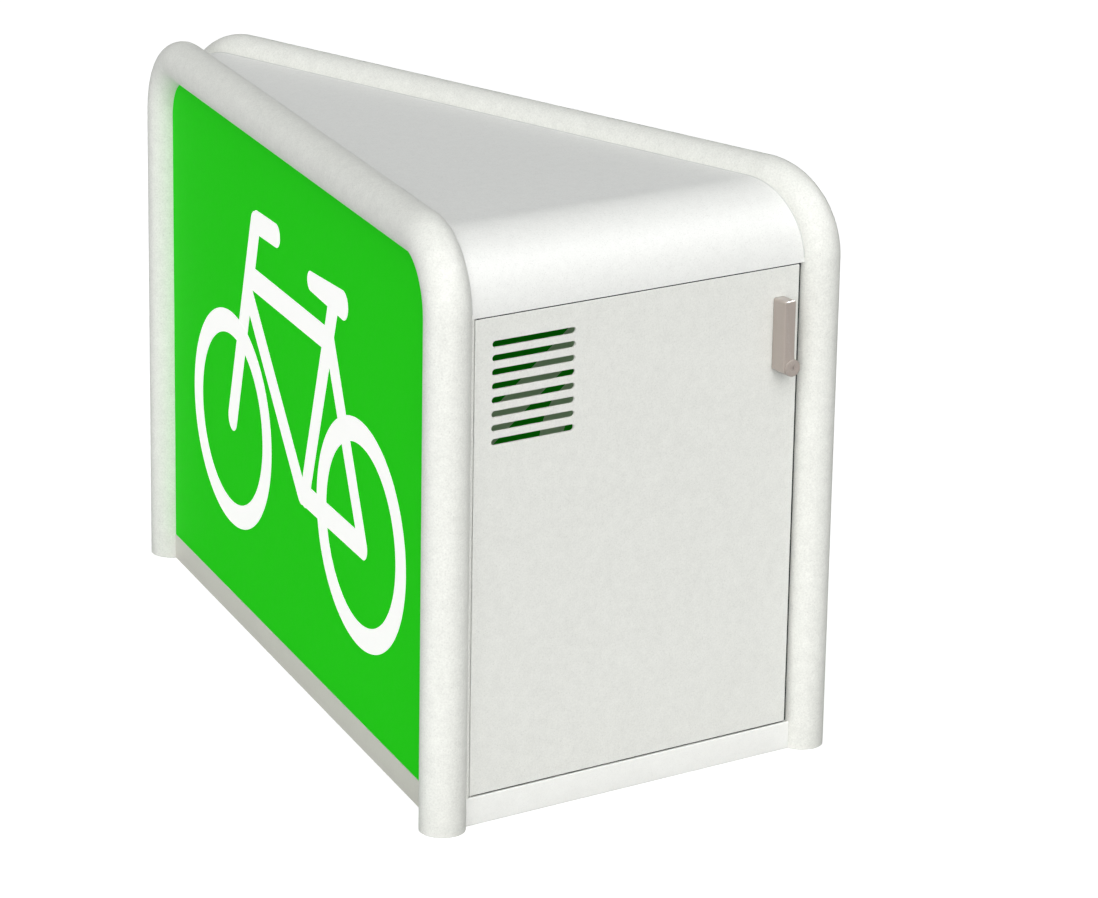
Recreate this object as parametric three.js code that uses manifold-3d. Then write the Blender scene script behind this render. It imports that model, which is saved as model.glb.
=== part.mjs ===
// Wedge-shaped steel bicycle locker: two bent tube hoops that close up towards the rear, green side
// sheets, a bent roof sheet, and a vented door with a turning handle that works two locking rods.
// Millimetres, +Z up, door on the -Y side. Ground is z = 0.
import * as THREE from 'three';
import { mergeVertices } from 'three/addons/utils/BufferGeometryUtils.js';
import Module from 'manifold-3d';

const wasm = await Module();
wasm.setup();

// Shared clearances and faceting
const seatGap = 0.3;
const cutOver = 5;
const weldTolerance = 0.0001;
const tubeSides = 28;
const bendSteps = 8;
const roundSides = 20;
const smallSides = 12;
const hexSides = 6;
const cornerSteps = 6;

// Hoops
const tubeDiameter = 101.6;
const tubeWall = 3;
const bendRadius = 152.4;
const lockerHeight = 1335;
const frontLegSpacing = 966;
const rearLegGap = 0.6;
const hoopDepth = 1885.2;

// Side sheets, their inner flanges and the base rails
const panelFaceLead = 5;
const panelThickness = 2;
const panelEdgeGap = 0.4;
const flangeWidth = 26;
const flangeThickness = 3;
const railHeight = 62;
const railDepth = 40;
const railWall = 3;
const railFaceLead = 6;

// Door opening and its surround
const doorFaceLead = 17;
const thresholdHeight = 65;
const thresholdDepth = 50;
const thresholdWall = 3;
const thresholdFeather = 5;
const doorGap = 3;
const doorSideGap = 10.2;
const roofSheet = 2;
const roofBendRadius = 163;
const roofRise = 10.8;
const roofTipWidth = 8;

// Reach of everything in Y, which sets the part's origin
const handleReach = 47;

const tubeRadius = tubeDiameter / 2;
const tubeBore = tubeRadius - tubeWall;
const tubeAxisHeight = lockerHeight - tubeRadius;
const bendStartHeight = tubeAxisHeight - bendRadius;
const rearLegSpacing = tubeDiameter + rearLegGap;
const sideShift = (frontLegSpacing - rearLegSpacing) / 2;
const hoopLength = Math.hypot(hoopDepth, sideShift);
const hoopAngle = Math.atan2(sideShift, hoopDepth);
const frontReach = doorFaceLead + handleReach;
const rearReach = hoopDepth + tubeRadius;
const originShift = -(rearReach - frontReach) / 2;
const roofTop = tubeAxisHeight + roofRise;
const fasciaBottom = roofTop - roofBendRadius;
const doorBottom = thresholdHeight + doorGap;
const doorTop = fasciaBottom - doorGap;
const doorHalfWidth = frontLegSpacing / 2 - tubeRadius - doorSideGap;

// Materials
function paint(color, roughness, metalness) {
  return new THREE.MeshStandardMaterial({ color, roughness, metalness });
}

const materials = {
  tube: paint(0xebebe7, 0.62, 0.1),
  roof: paint(0xd2d4d0, 0.6, 0.1),
  door: paint(0xe2e3df, 0.6, 0.1),
  sheet: paint(0x20c418, 0.5, 0.05),
  rail: paint(0xbbbab2, 0.65, 0.1),
  threshold: paint(0xf1f1ef, 0.6, 0.1),
  zinc: paint(0x9a9c9e, 0.45, 0.85),
  handle: paint(0xb2a8a0, 0.45, 0.35),
  steel: paint(0x8b8d90, 0.35, 0.9),
  nylon: paint(0xd9d6cb, 0.55, 0),
  rubber: paint(0x2b2c2e, 0.85, 0),
  plastic: paint(0x3a3c3d, 0.7, 0),
};

// Closed meshes to solids and back
function solidOf(geometry) {
  const plain = geometry.clone();
  plain.deleteAttribute('normal');
  plain.deleteAttribute('uv');
  const merged = mergeVertices(plain, weldTolerance);
  return new wasm.Manifold(new wasm.Mesh({
    numProp: 3,
    vertProperties: Float32Array.from(merged.attributes.position.array),
    triVerts: Uint32Array.from(merged.index.array),
  }));
}

function geometryOf(solid) {
  const mesh = solid.getMesh();
  const geometry = new THREE.BufferGeometry();
  const points = Float32Array.from(mesh.vertProperties);
  geometry.setAttribute('position', new THREE.BufferAttribute(points, 3));
  geometry.setIndex(new THREE.BufferAttribute(Uint32Array.from(mesh.triVerts), 1));
  geometry.computeVertexNormals();
  return geometry;
}

function piece(parent, name, solid, material) {
  const mesh = new THREE.Mesh(geometryOf(solid), material);
  mesh.name = name;
  parent.add(mesh);
  return mesh;
}

function without(solid, tools) {
  return tools.reduce((rest, tool) => rest.subtract(tool), solid);
}

// Box between two corners, given in any order
function block([x0, x1], [y0, y1], [z0, z1]) {
  const geometry = new THREE.BoxGeometry(Math.abs(x1 - x0), Math.abs(y1 - y0), Math.abs(z1 - z0));
  geometry.translate((x0 + x1) / 2, (y0 + y1) / 2, (z0 + z1) / 2);
  return solidOf(geometry);
}

// Outline extruded along one axis. Along X the outline is drawn in (y, z), along Y in (x, z) and
// along Z in (x, y). An edge radius rounds the rims of both ends and keeps the outer size. The steps
// are those of each quarter turn; a shape's arcs are cut into twice its curve segments.
const outlineBases = {
  x: [new THREE.Vector3(0, 1, 0), new THREE.Vector3(0, 0, 1), new THREE.Vector3(1, 0, 0)],
  y: [new THREE.Vector3(1, 0, 0), new THREE.Vector3(0, 0, 1), new THREE.Vector3(0, -1, 0)],
  z: [new THREE.Vector3(1, 0, 0), new THREE.Vector3(0, 1, 0), new THREE.Vector3(0, 0, 1)],
};

function prism(axis, outline, [from, to], edge = 0, steps = cornerSteps) {
  const low = Math.min(from, to);
  const high = Math.max(from, to);
  const geometry = new THREE.ExtrudeGeometry(outline, {
    depth: high - low - 2 * edge,
    curveSegments: steps / 2,
    bevelEnabled: edge > 0,
    bevelThickness: edge,
    bevelSize: edge,
    bevelOffset: -edge,
    bevelSegments: 2,
  });
  geometry.translate(0, 0, edge);
  geometry.applyMatrix4(new THREE.Matrix4().makeBasis(...outlineBases[axis]));
  if (axis === 'x') geometry.translate(low, 0, 0);
  if (axis === 'y') geometry.translate(0, high, 0);
  if (axis === 'z') geometry.translate(0, 0, low);
  return solidOf(geometry);
}

// Round bar along one axis; the centre is given in that axis's outline plane
function bar(axis, radius, [u, v], [from, to], sides = roundSides) {
  const outline = new THREE.Shape();
  for (let side = 0; side < sides; side += 1) {
    const turn = (2 * Math.PI * side) / sides;
    const point = [u + radius * Math.cos(turn), v + radius * Math.sin(turn)];
    if (side === 0) outline.moveTo(...point);
    else outline.lineTo(...point);
  }
  outline.closePath();
  return prism(axis, outline, [from, to]);
}

function polygon(points) {
  const outline = new THREE.Shape();
  points.forEach(([u, v], index) => (index ? outline.lineTo(u, v) : outline.moveTo(u, v)));
  outline.closePath();
  return outline;
}

// Rectangle with a radius of its own on each corner: low-low, high-low, high-high, low-high
function roundedRectangle([u0, u1], [v0, v1], [r00, r10, r11, r01]) {
  const outline = new THREE.Shape();
  outline.moveTo(u0 + r00, v0);
  outline.lineTo(u1 - r10, v0);
  if (r10) outline.absarc(u1 - r10, v0 + r10, r10, -Math.PI / 2, 0, false);
  outline.lineTo(u1, v1 - r11);
  if (r11) outline.absarc(u1 - r11, v1 - r11, r11, 0, Math.PI / 2, false);
  outline.lineTo(u0 + r01, v1);
  if (r01) outline.absarc(u0 + r01, v1 - r01, r01, Math.PI / 2, Math.PI, false);
  outline.lineTo(u0, v0 + r00);
  if (r00) outline.absarc(u0 + r00, v0 + r00, r00, Math.PI, 1.5 * Math.PI, false);
  return outline;
}

function evenRectangle(uRange, vRange, radius) {
  return roundedRectangle(uRange, vRange, [radius, radius, radius, radius]);
}

// Half of the clear width between two lines that run beside the hoops, at a distance inside them
function halfWidthAt(y, distance) {
  return frontLegSpacing / 2 - y * Math.tan(hoopAngle) - distance / Math.cos(hoopAngle);
}

// Upright prism that is bounded left and right by those two lines
function wedge([y0, y1], distance, zRange) {
  const front = halfWidthAt(y0, distance);
  const rear = halfWidthAt(y1, distance);
  return prism('z', polygon([[-front, y0], [front, y0], [rear, y1], [-rear, y1]]), zRange);
}

// Groups: the whole locker, and one turned group for each hoop's plane
const locker = new THREE.Group();
locker.name = 'bicycle_locker';
locker.position.y = originShift;

function sideGroup(side) {
  const group = new THREE.Group();
  group.position.x = (side * frontLegSpacing) / 2;
  group.rotation.z = side * hoopAngle;
  locker.add(group);
  return group;
}

const sides = [
  { name: 'left', side: -1, group: sideGroup(-1) },
  { name: 'right', side: 1, group: sideGroup(1) },
];

// Hoop: a round tube swept up the front leg, round a bend, along the top and down the rear leg
function hoopStations() {
  const stations = [{ y: 0, z: 0, ty: 0, tz: 1 }];
  for (let step = 0; step <= bendSteps; step += 1) {
    const turn = (step / bendSteps) * (Math.PI / 2);
    stations.push({
      y: bendRadius * (1 - Math.cos(turn)),
      z: bendStartHeight + bendRadius * Math.sin(turn),
      ty: Math.sin(turn),
      tz: Math.cos(turn),
    });
  }
  const mirrored = stations.map((s) => ({ y: hoopLength - s.y, z: s.z, ty: s.ty, tz: -s.tz }));
  return [...stations, ...mirrored.reverse()];
}

function sweptTube(stations, outer, inner) {
  const points = [];
  const index = [];
  for (const { y, z, ty, tz } of stations) {
    for (const radius of [outer, inner]) {
      for (let side = 0; side < tubeSides; side += 1) {
        const turn = (2 * Math.PI * side) / tubeSides;
        const across = radius * Math.sin(turn);
        points.push(radius * Math.cos(turn), y + across * tz, z - across * ty);
      }
    }
  }
  const at = (ring, wall, side) => (2 * ring + wall) * tubeSides + (side % tubeSides);
  for (let side = 0; side < tubeSides; side += 1) {
    for (let ring = 0; ring < stations.length - 1; ring += 1) {
      const next = ring + 1;
      for (const [wall, near, far] of [[0, side, side + 1], [1, side + 1, side]]) {
        index.push(at(ring, wall, near), at(ring, wall, far), at(next, wall, far));
        index.push(at(ring, wall, near), at(next, wall, far), at(next, wall, near));
      }
    }
    const last = stations.length - 1;
    index.push(at(0, 0, side), at(0, 1, side), at(0, 0, side + 1));
    index.push(at(0, 1, side), at(0, 1, side + 1), at(0, 0, side + 1));
    index.push(at(last, 0, side), at(last, 0, side + 1), at(last, 1, side));
    index.push(at(last, 1, side), at(last, 0, side + 1), at(last, 1, side + 1));
  }
  const geometry = new THREE.BufferGeometry();
  geometry.setAttribute('position', new THREE.Float32BufferAttribute(points, 3));
  geometry.setIndex(index);
  return solidOf(geometry);
}

function legCylinder(y, radius, zRange) {
  return bar('z', radius, [0, y], zRange, tubeSides);
}

function buildHoops() {
  const tube = sweptTube(hoopStations(), tubeRadius, tubeBore);
  for (const { name, group } of sides) piece(group, `${name}_hoop`, tube, materials.tube);
}

// Plastic plugs that close the four tube ends flush with the ground
const plugHeight = 18;
const plugWall = 4;

function buildFootPlugs() {
  const plugRadius = tubeBore - seatGap;
  const cup = bar('z', plugRadius, [0, 0], [0, plugHeight])
    .subtract(bar('z', plugRadius - plugWall, [0, 0], [plugWall, plugHeight + cutOver]));
  for (const { name, group } of sides) {
    for (const [end, y] of [['front', 0], ['rear', hoopLength]]) {
      piece(group, `${end}_${name}_foot_plug`, cup.translate([0, y, 0]), materials.plastic);
    }
  }
}

// Outline of the field inside a hoop, set in from the tube's axis, from a given height upwards
function hoopField(inset, bottom) {
  const radius = bendRadius - inset;
  const along = [inset, hoopLength - inset];
  return roundedRectangle(along, [bottom, tubeAxisHeight - inset], [0, 0, radius, radius]);
}

function hoopFieldPrism(inset, bottom, range) {
  return prism('x', hoopField(inset, bottom), range, 0, bendSteps);
}

function buildSideSheets() {
  const bottom = railHeight + seatGap;
  const inset = tubeRadius + panelEdgeGap;
  const inner = panelFaceLead - panelThickness;
  const flangeFace = inner - seatGap;
  for (const { name, side, group } of sides) {
    const sheet = hoopFieldPrism(inset, bottom, [side * inner, side * panelFaceLead]);
    piece(group, `${name}_side_panel`, sheet, materials.sheet);
    const flangeRange = [side * (flangeFace - flangeThickness), side * flangeFace];
    const cutRange = [side * (flangeFace - flangeThickness - cutOver), side * (flangeFace + cutOver)];
    const flange = hoopFieldPrism(inset, bottom, flangeRange)
      .subtract(hoopFieldPrism(inset + flangeWidth, bottom + flangeWidth, cutRange));
    piece(group, `${name}_panel_flange`, flange, materials.tube);
  }
}

// Base rails: rectangular tubes with ends coped to the round legs
function buildBaseRails() {
  const inner = railFaceLead - railDepth;
  for (const { name, side, group } of sides) {
    const across = [side * inner, side * railFaceLead].sort((a, b) => a - b);
    const outline = evenRectangle(across, [0, railHeight], railWall);
    const hollowX = [side * (inner + railWall), side * (railFaceLead - railWall)];
    const rail = without(prism('y', outline, [0, hoopLength]), [
      block(hollowX, [-cutOver, hoopLength + cutOver], [railWall, railHeight - railWall]),
      legCylinder(0, tubeRadius + seatGap, [-cutOver, railHeight + cutOver]),
      legCylinder(hoopLength, tubeRadius + seatGap, [-cutOver, railHeight + cutOver]),
    ]);
    const between = [tubeBore / 2, hoopLength - tubeBore / 2];
    const kept = rail.intersect(block([-railDepth, railDepth], between, [0, railHeight]));
    piece(group, `${name}_base_rail`, kept, materials.rail);
  }
}

// Cross members between the front legs have their ends coped to both legs
function copedToFrontLegs(solid, zRange) {
  const cope = (x) => bar('z', tubeRadius + seatGap, [x, 0], zRange, tubeSides);
  return without(solid, [cope(frontLegSpacing / 2), cope(-frontLegSpacing / 2)]);
}

const crossHalfLength = frontLegSpacing / 2 - tubeRadius + thresholdFeather;

// Pivot axis of the door, at its left end, and the pins and bushes on it
const pivotInset = 16;
const pivotDepth = 16;
const pivotPinRadius = 6;
const pivotRunGap = 0.4;
const bushWall = 2.5;
const bushFlange = 3;
const bushFlangeThickness = 2;
const pinEngagement = 16;
const pivotX = -doorHalfWidth + pivotInset;
const pivotY = -doorFaceLead + pivotDepth;
const bushRadius = pivotPinRadius + pivotRunGap + bushWall;

// Handle, cam and locking rods
const handleAxisInset = 45;
const handleAxisDrop = 217;
const camPinThrow = 24;
const camPinRadius = 3.5;
const camPinAngle = Math.PI / 4;
const rodWidth = 24;
const rodThickness = 5;
const rodRunGap = 0.8;
const rodPlaneDepth = 17;
const rodTipBevel = 5;
const handleX = doorHalfWidth - handleAxisInset;
const handleAxisHeight = doorTop - handleAxisDrop;
const rodOffset = camPinThrow * (1 + Math.cos(camPinAngle)) / 2;
const rodStroke = 2 * camPinThrow * Math.sin(camPinAngle);
const rodFront = -doorFaceLead + rodPlaneDepth;
const rodRear = rodFront + rodThickness;
const upperRodX = handleX + rodOffset;
const lowerRodX = handleX - rodOffset;

// Opening that a locking rod slides through, in a wall that it crosses
function rodWindow(x, zRange, gap = rodRunGap) {
  const half = rodWidth / 2 + gap;
  return block([x - half, x + half], [rodFront - gap, rodRear + gap], zRange);
}

function buildThreshold() {
  const front = -doorFaceLead;
  const rear = front + thresholdDepth;
  const outline = evenRectangle([front, rear], [0, thresholdHeight], thresholdWall);
  const hollow = block(
    [-frontLegSpacing, frontLegSpacing],
    [front + thresholdWall, rear - thresholdWall],
    [thresholdWall, thresholdHeight - thresholdWall],
  );
  const top = [thresholdHeight - thresholdWall - cutOver, thresholdHeight + cutOver];
  const tube = without(prism('x', outline, [-crossHalfLength, crossHalfLength]), [
    hollow,
    bar('z', bushRadius + seatGap, [pivotX, pivotY], top),
    rodWindow(lowerRodX, top),
  ]);
  const threshold = copedToFrontLegs(tube, [-cutOver, thresholdHeight + cutOver]);
  piece(locker, 'front_threshold', threshold, materials.threshold);
}

// Header channel behind the fascia, with a short front lip and a tall rear web
const headerDepth = 50;
const headerHeight = 42;
const headerLip = 10;
const headerSheet = 3;
const headerFrontGap = 1.5;
const headerFront = -doorFaceLead + roofSheet + headerFrontGap;

function buildHeader() {
  const rear = headerFront + headerDepth;
  const bottom = fasciaBottom;
  const outline = polygon([
    [headerFront, bottom],
    [rear, bottom],
    [rear, bottom + headerHeight],
    [rear - headerSheet, bottom + headerHeight],
    [rear - headerSheet, bottom + headerSheet],
    [headerFront + headerSheet, bottom + headerSheet],
    [headerFront + headerSheet, bottom + headerLip],
    [headerFront, bottom + headerLip],
  ]);
  const floor = [bottom - cutOver, bottom + headerSheet + cutOver];
  const channel = without(prism('x', outline, [-crossHalfLength, crossHalfLength]), [
    bar('z', bushRadius + seatGap, [pivotX, pivotY], floor),
    rodWindow(upperRodX, floor),
  ]);
  const header = copedToFrontLegs(channel, [bottom - cutOver, bottom + headerHeight + cutOver]);
  piece(locker, 'door_header', header, materials.tube);
}

// Roof: flat sheet between the hoops with a front bend that ends as a fascia over the door and a
// rear bend that follows the hoops down to a narrow tip
function roofProfile() {
  const frontCentre = -doorFaceLead + roofBendRadius;
  const rearCentre = hoopDepth + doorFaceLead - roofBendRadius;
  const arc = (centre, radius, from, to) => {
    const points = [];
    for (let step = 0; step <= bendSteps; step += 1) {
      const turn = from + ((to - from) * step) / bendSteps;
      points.push([centre + radius * Math.cos(turn), fasciaBottom + radius * Math.sin(turn)]);
    }
    return points;
  };
  const inner = roofBendRadius - roofSheet;
  return polygon([
    ...arc(frontCentre, roofBendRadius, Math.PI, Math.PI / 2),
    ...arc(rearCentre, roofBendRadius, Math.PI / 2, 0),
    ...arc(rearCentre, inner, 0, Math.PI / 2),
    ...arc(frontCentre, inner, Math.PI / 2, Math.PI),
  ]);
}

function buildRoof() {
  const reach = tubeRadius + seatGap;
  const tipY = (frontLegSpacing / 2 - reach / Math.cos(hoopAngle) - roofTipWidth / 2) / Math.tan(hoopAngle);
  const field = wedge([-doorFaceLead - cutOver, tipY], reach, [fasciaBottom - cutOver, roofTop + cutOver]);
  const sheet = prism('x', roofProfile(), [-frontLegSpacing, frontLegSpacing]).intersect(field);
  piece(locker, 'roof_skin', sheet, materials.roof);
}

// Angles along the top tubes that carry the roof sheet
const angleLeg = 25;
const angleSheet = 3;
const angleEndGap = 18;
const angleRearSetback = 60;

function buildRoofAngles() {
  const outer = -(tubeRadius + seatGap);
  const top = roofTop - roofSheet - seatGap;
  const run = [bendRadius + angleEndGap, hoopLength - bendRadius - angleRearSetback];
  for (const { name, side, group } of sides) {
    const outline = polygon([
      [side * outer, top],
      [side * (outer - angleLeg), top],
      [side * (outer - angleLeg), top - angleSheet],
      [side * (outer - angleSheet), top - angleSheet],
      [side * (outer - angleSheet), top - angleLeg],
      [side * outer, top - angleLeg],
    ]);
    piece(group, `${name}_roof_angle`, prism('y', outline, run), materials.tube);
  }
}

// Roof bows: folded channels, open below, that span from angle to angle
const bowWidth = 40;
const bowDepth = 22;
const bowSheet = 2;
const bowShares = [
  ['front_roof_bow', 0.2],
  ['middle_roof_bow', 0.45],
  ['rear_roof_bow', 0.7],
];

function buildRoofBows() {
  const reach = tubeRadius + angleSheet + 2 * seatGap;
  const top = roofTop - roofSheet - angleSheet - 2 * seatGap;
  for (const [name, share] of bowShares) {
    const y = share * hoopDepth;
    const outline = polygon([
      [y - bowWidth / 2, top],
      [y - bowWidth / 2, top - bowDepth],
      [y - bowWidth / 2 + bowSheet, top - bowDepth],
      [y - bowWidth / 2 + bowSheet, top - bowSheet],
      [y + bowWidth / 2 - bowSheet, top - bowSheet],
      [y + bowWidth / 2 - bowSheet, top - bowDepth],
      [y + bowWidth / 2, top - bowDepth],
      [y + bowWidth / 2, top],
    ]);
    const field = wedge([y - bowWidth, y + bowWidth], reach, [top - bowDepth - cutOver, top + cutOver]);
    const bow = prism('x', outline, [-frontLegSpacing, frontLegSpacing]).intersect(field);
    piece(locker, name, bow, materials.tube);
  }
}

// Door jambs: angles on the front legs that the shut door stops against, with a seal on the lock side
const doorDepth = 28;
const jambSetback = 10;
const jambSheet = 3;
const jambOverlap = 20;
const jambReturn = 28;
const sealThickness = 9;
const sealWidth = 14;
const sealEdge = 2;
const doorRear = -doorFaceLead + doorDepth;
const jambFront = doorRear + jambSetback;

function buildJambs() {
  const bottom = thresholdHeight + seatGap;
  const top = fasciaBottom - seatGap;
  const legReach = Math.sqrt((tubeRadius + seatGap) ** 2 - jambFront ** 2);
  const outer = frontLegSpacing / 2 - legReach;
  const inner = doorHalfWidth - jambOverlap;
  for (const { name, side } of sides) {
    const outline = polygon([
      [side * outer, jambFront],
      [side * inner, jambFront],
      [side * inner, jambFront + jambReturn],
      [side * (inner + jambSheet), jambFront + jambReturn],
      [side * (inner + jambSheet), jambFront + jambSheet],
      [side * outer, jambFront + jambSheet],
    ]);
    piece(locker, `${name}_door_jamb`, prism('z', outline, [bottom, top]), materials.tube);
  }
  const sealX = [inner, inner + sealWidth];
  const sealY = [jambFront - sealThickness - seatGap, jambFront - seatGap];
  const seal = prism('z', evenRectangle(sealX, sealY, sealEdge), [bottom, top]);
  piece(locker, 'door_seal', seal, materials.rubber);
}

// Strip that closes the groove between the two rear legs from the inside
const spineWidth = 40;
const spineSheet = 4;
const spineTopGap = 12;

function buildSpine() {
  const half = spineWidth / 2;
  const across = rearLegSpacing / 2 - half;
  const seat = hoopDepth - Math.sqrt((tubeRadius + seatGap) ** 2 - across ** 2);
  const strip = block([-half, half], [seat - spineSheet, seat], [0, bendStartHeight - spineTopGap]);
  piece(locker, 'rear_spine_strip', strip, materials.tube);
}

// Bushes for the door's pivot pins, one set down in the threshold and one up in the header
function buildPivotBushes() {
  const bore = pivotPinRadius + pivotRunGap;
  const ring = (radius, range) => bar('z', radius, [pivotX, pivotY], range);
  const boreCut = (range) => ring(bore, [range[0] - cutOver, range[1] + cutOver]);
  const floor = thresholdHeight;
  const lowerRange = [floor - thresholdWall - bushWall, floor + bushFlangeThickness + seatGap];
  const lower = ring(bushRadius, [lowerRange[0], floor + seatGap])
    .add(ring(bushRadius + bushFlange, [floor + seatGap, lowerRange[1]]))
    .subtract(boreCut(lowerRange));
  piece(locker, 'lower_pivot_bush', lower, materials.nylon);
  const ceiling = fasciaBottom;
  const upperRange = [ceiling - bushFlangeThickness - seatGap, ceiling + headerSheet + bushWall];
  const upper = ring(bushRadius, [ceiling - seatGap, upperRange[1]])
    .add(ring(bushRadius + bushFlange, [upperRange[0], ceiling - seatGap]))
    .subtract(boreCut(upperRange));
  piece(locker, 'upper_pivot_bush', upper, materials.nylon);
}

// Keeper plates that the rods shoot into
const keeperLength = 56;
const keeperDepth = 20;
const keeperSheet = 4;
const keeperCorner = 3;
const keeperScrewInset = 8;
const keeperScrewHoleRadius = 2.5;

function keeperPlate(x, zRange) {
  const middle = (rodFront + rodRear) / 2;
  const yRange = [middle - keeperDepth / 2, middle + keeperDepth / 2];
  const outline = evenRectangle([x - keeperLength / 2, x + keeperLength / 2], yRange, keeperCorner);
  const through = [zRange[0] - cutOver, zRange[1] + cutOver];
  const inset = keeperLength / 2 - keeperScrewInset;
  return without(prism('z', outline, zRange), [
    rodWindow(x, through),
    bar('z', keeperScrewHoleRadius, [x - inset, middle], through, smallSides),
    bar('z', keeperScrewHoleRadius, [x + inset, middle], through, smallSides),
  ]);
}

function buildKeepers() {
  const upperSeat = fasciaBottom + headerSheet + seatGap;
  const lowerSeat = thresholdHeight - thresholdWall - seatGap;
  const upperRange = [upperSeat, upperSeat + keeperSheet];
  const lowerRange = [lowerSeat - keeperSheet, lowerSeat];
  piece(locker, 'upper_keeper', keeperPlate(upperRodX, upperRange), materials.zinc);
  piece(locker, 'lower_keeper', keeperPlate(lowerRodX, lowerRange), materials.zinc);
}

// Floor: two ties between the base rails, a wheel channel on them, and four anchor brackets
const tieWidth = 50;
const tieThickness = 6;
const tieLift = 3;
const tieShares = [
  ['front', 0.13],
  ['rear', 0.73],
];
const channelWidth = 74;
const channelHeight = 26;
const channelSheet = 3;
const channelLip = 8;
const channelFrontGap = 90;
const channelRearSetback = 325;
const boltHeadRadius = 7.5;
const boltHeadHeight = 5;

function buildFloor() {
  const reach = railDepth - railFaceLead + seatGap;
  const tieTop = tieLift + tieThickness;
  for (const [end, share] of tieShares) {
    const y = share * hoopDepth;
    const tie = wedge([y - tieWidth / 2, y + tieWidth / 2], reach, [tieLift, tieTop]);
    piece(locker, `${end}_floor_tie`, tie, materials.zinc);
  }
  const seat = tieTop + seatGap;
  const half = channelWidth / 2;
  const top = seat + channelHeight;
  const outline = polygon([
    [-half, seat],
    [half, seat],
    [half, top - channelSheet],
    [half + channelLip, top - channelSheet],
    [half + channelLip, top],
    [half - channelSheet, top],
    [half - channelSheet, seat + channelSheet],
    [-half + channelSheet, seat + channelSheet],
    [-half + channelSheet, top],
    [-half - channelLip, top],
    [-half - channelLip, top - channelSheet],
    [-half, top - channelSheet],
  ]);
  const run = [thresholdDepth - doorFaceLead + channelFrontGap, hoopDepth - channelRearSetback];
  piece(locker, 'wheel_channel', prism('y', outline, run), materials.zinc);
  const floor = seat + channelSheet + seatGap;
  for (const [end, share] of tieShares) {
    const headRange = [floor, floor + boltHeadHeight];
    const head = bar('z', boltHeadRadius, [0, share * hoopDepth], headRange, hexSides);
    piece(locker, `${end}_channel_bolt`, head, materials.steel);
  }
}

const bracketLeg = 55;
const bracketLength = 60;
const bracketSheet = 5;
const anchorHoleRadius = 7;
const bracketShares = [
  ['front', 0.22],
  ['rear', 0.58],
];

function buildAnchorBrackets() {
  const seat = -(railDepth - railFaceLead + seatGap);
  for (const { name, side, group } of sides) {
    for (const [end, share] of bracketShares) {
      const y = share * hoopLength;
      const run = [y - bracketLength / 2, y + bracketLength / 2];
      const outline = polygon([
        [side * seat, 0],
        [side * (seat - bracketLeg), 0],
        [side * (seat - bracketLeg), bracketSheet],
        [side * (seat - bracketSheet), bracketSheet],
        [side * (seat - bracketSheet), bracketLeg],
        [side * seat, bracketLeg],
      ]);
      const through = [-cutOver, bracketSheet + cutOver];
      const hole = bar('z', anchorHoleRadius, [side * (seat - bracketLeg / 2), y], through);
      const bracket = prism('y', outline, run).subtract(hole);
      piece(group, `${end}_${name}_anchor_bracket`, bracket, materials.zinc);
    }
  }
}

// Door: folded steel pan with eight long vent slots, open at the back
const doorSheet = 2;
const doorEdge = 1.5;
const doorLip = 16;
const ventCount = 8;
const ventPitch = 30.6;
const ventHeight = 13;
const ventLength = 212;
const ventSideInset = 43;
const ventTopInset = 59;

function ventSlots() {
  const left = -doorHalfWidth + ventSideInset;
  const first = doorTop - ventTopInset;
  const slots = [];
  for (let vent = 0; vent < ventCount; vent += 1) {
    const z = first - vent * ventPitch;
    const across = [z - ventHeight / 2, z + ventHeight / 2];
    const outline = evenRectangle([left, left + ventLength], across, ventHeight / 2);
    slots.push(prism('y', outline, [-doorFaceLead - cutOver, -doorFaceLead + doorSheet + cutOver]));
  }
  return slots;
}

function buildDoorSkin() {
  const front = -doorFaceLead;
  const width = [-doorHalfWidth, doorHalfWidth];
  const height = [doorBottom, doorTop];
  const inward = ([low, high], inset) => [low + inset, high - inset];
  const outer = prism('y', evenRectangle(width, height, doorEdge * 2), [front, doorRear], doorEdge);
  const inner = front + doorSheet;
  const hollow = block(inward(width, doorSheet), [inner, doorRear - doorSheet], inward(height, doorSheet));
  const back = block(inward(width, doorLip), [inner, doorRear + cutOver], inward(height, doorLip));
  const spindleHole = bar(
    'y',
    spindleRadius + spindleRunGap,
    [handleX, handleAxisHeight],
    [front - cutOver, inner + cutOver],
  );
  const topEdge = [doorTop - doorSheet - cutOver, doorTop + cutOver];
  const bottomEdge = [doorBottom - cutOver, doorBottom + doorSheet + cutOver];
  const skin = without(outer, [
    hollow,
    back,
    ...ventSlots(),
    spindleHole,
    rodWindow(upperRodX, topEdge),
    rodWindow(lowerRodX, bottomEdge),
    bar('z', pivotPinRadius + seatGap, [pivotX, pivotY], topEdge),
    bar('z', pivotPinRadius + seatGap, [pivotX, pivotY], bottomEdge),
  ]);
  piece(locker, 'door_skin', skin, materials.door);
}

// Stiffeners: hat sections across the inside of the door, bent up from sheet
const stiffenerSheet = 2;
const stiffenerCrown = 46;
const stiffenerDepth = 16;
const stiffenerBrim = 16;
const stiffenerRodGap = 6;
const stiffenerShares = [
  ['upper_door_stiffener', 0.54],
  ['lower_door_stiffener', 0.22],
];

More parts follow.
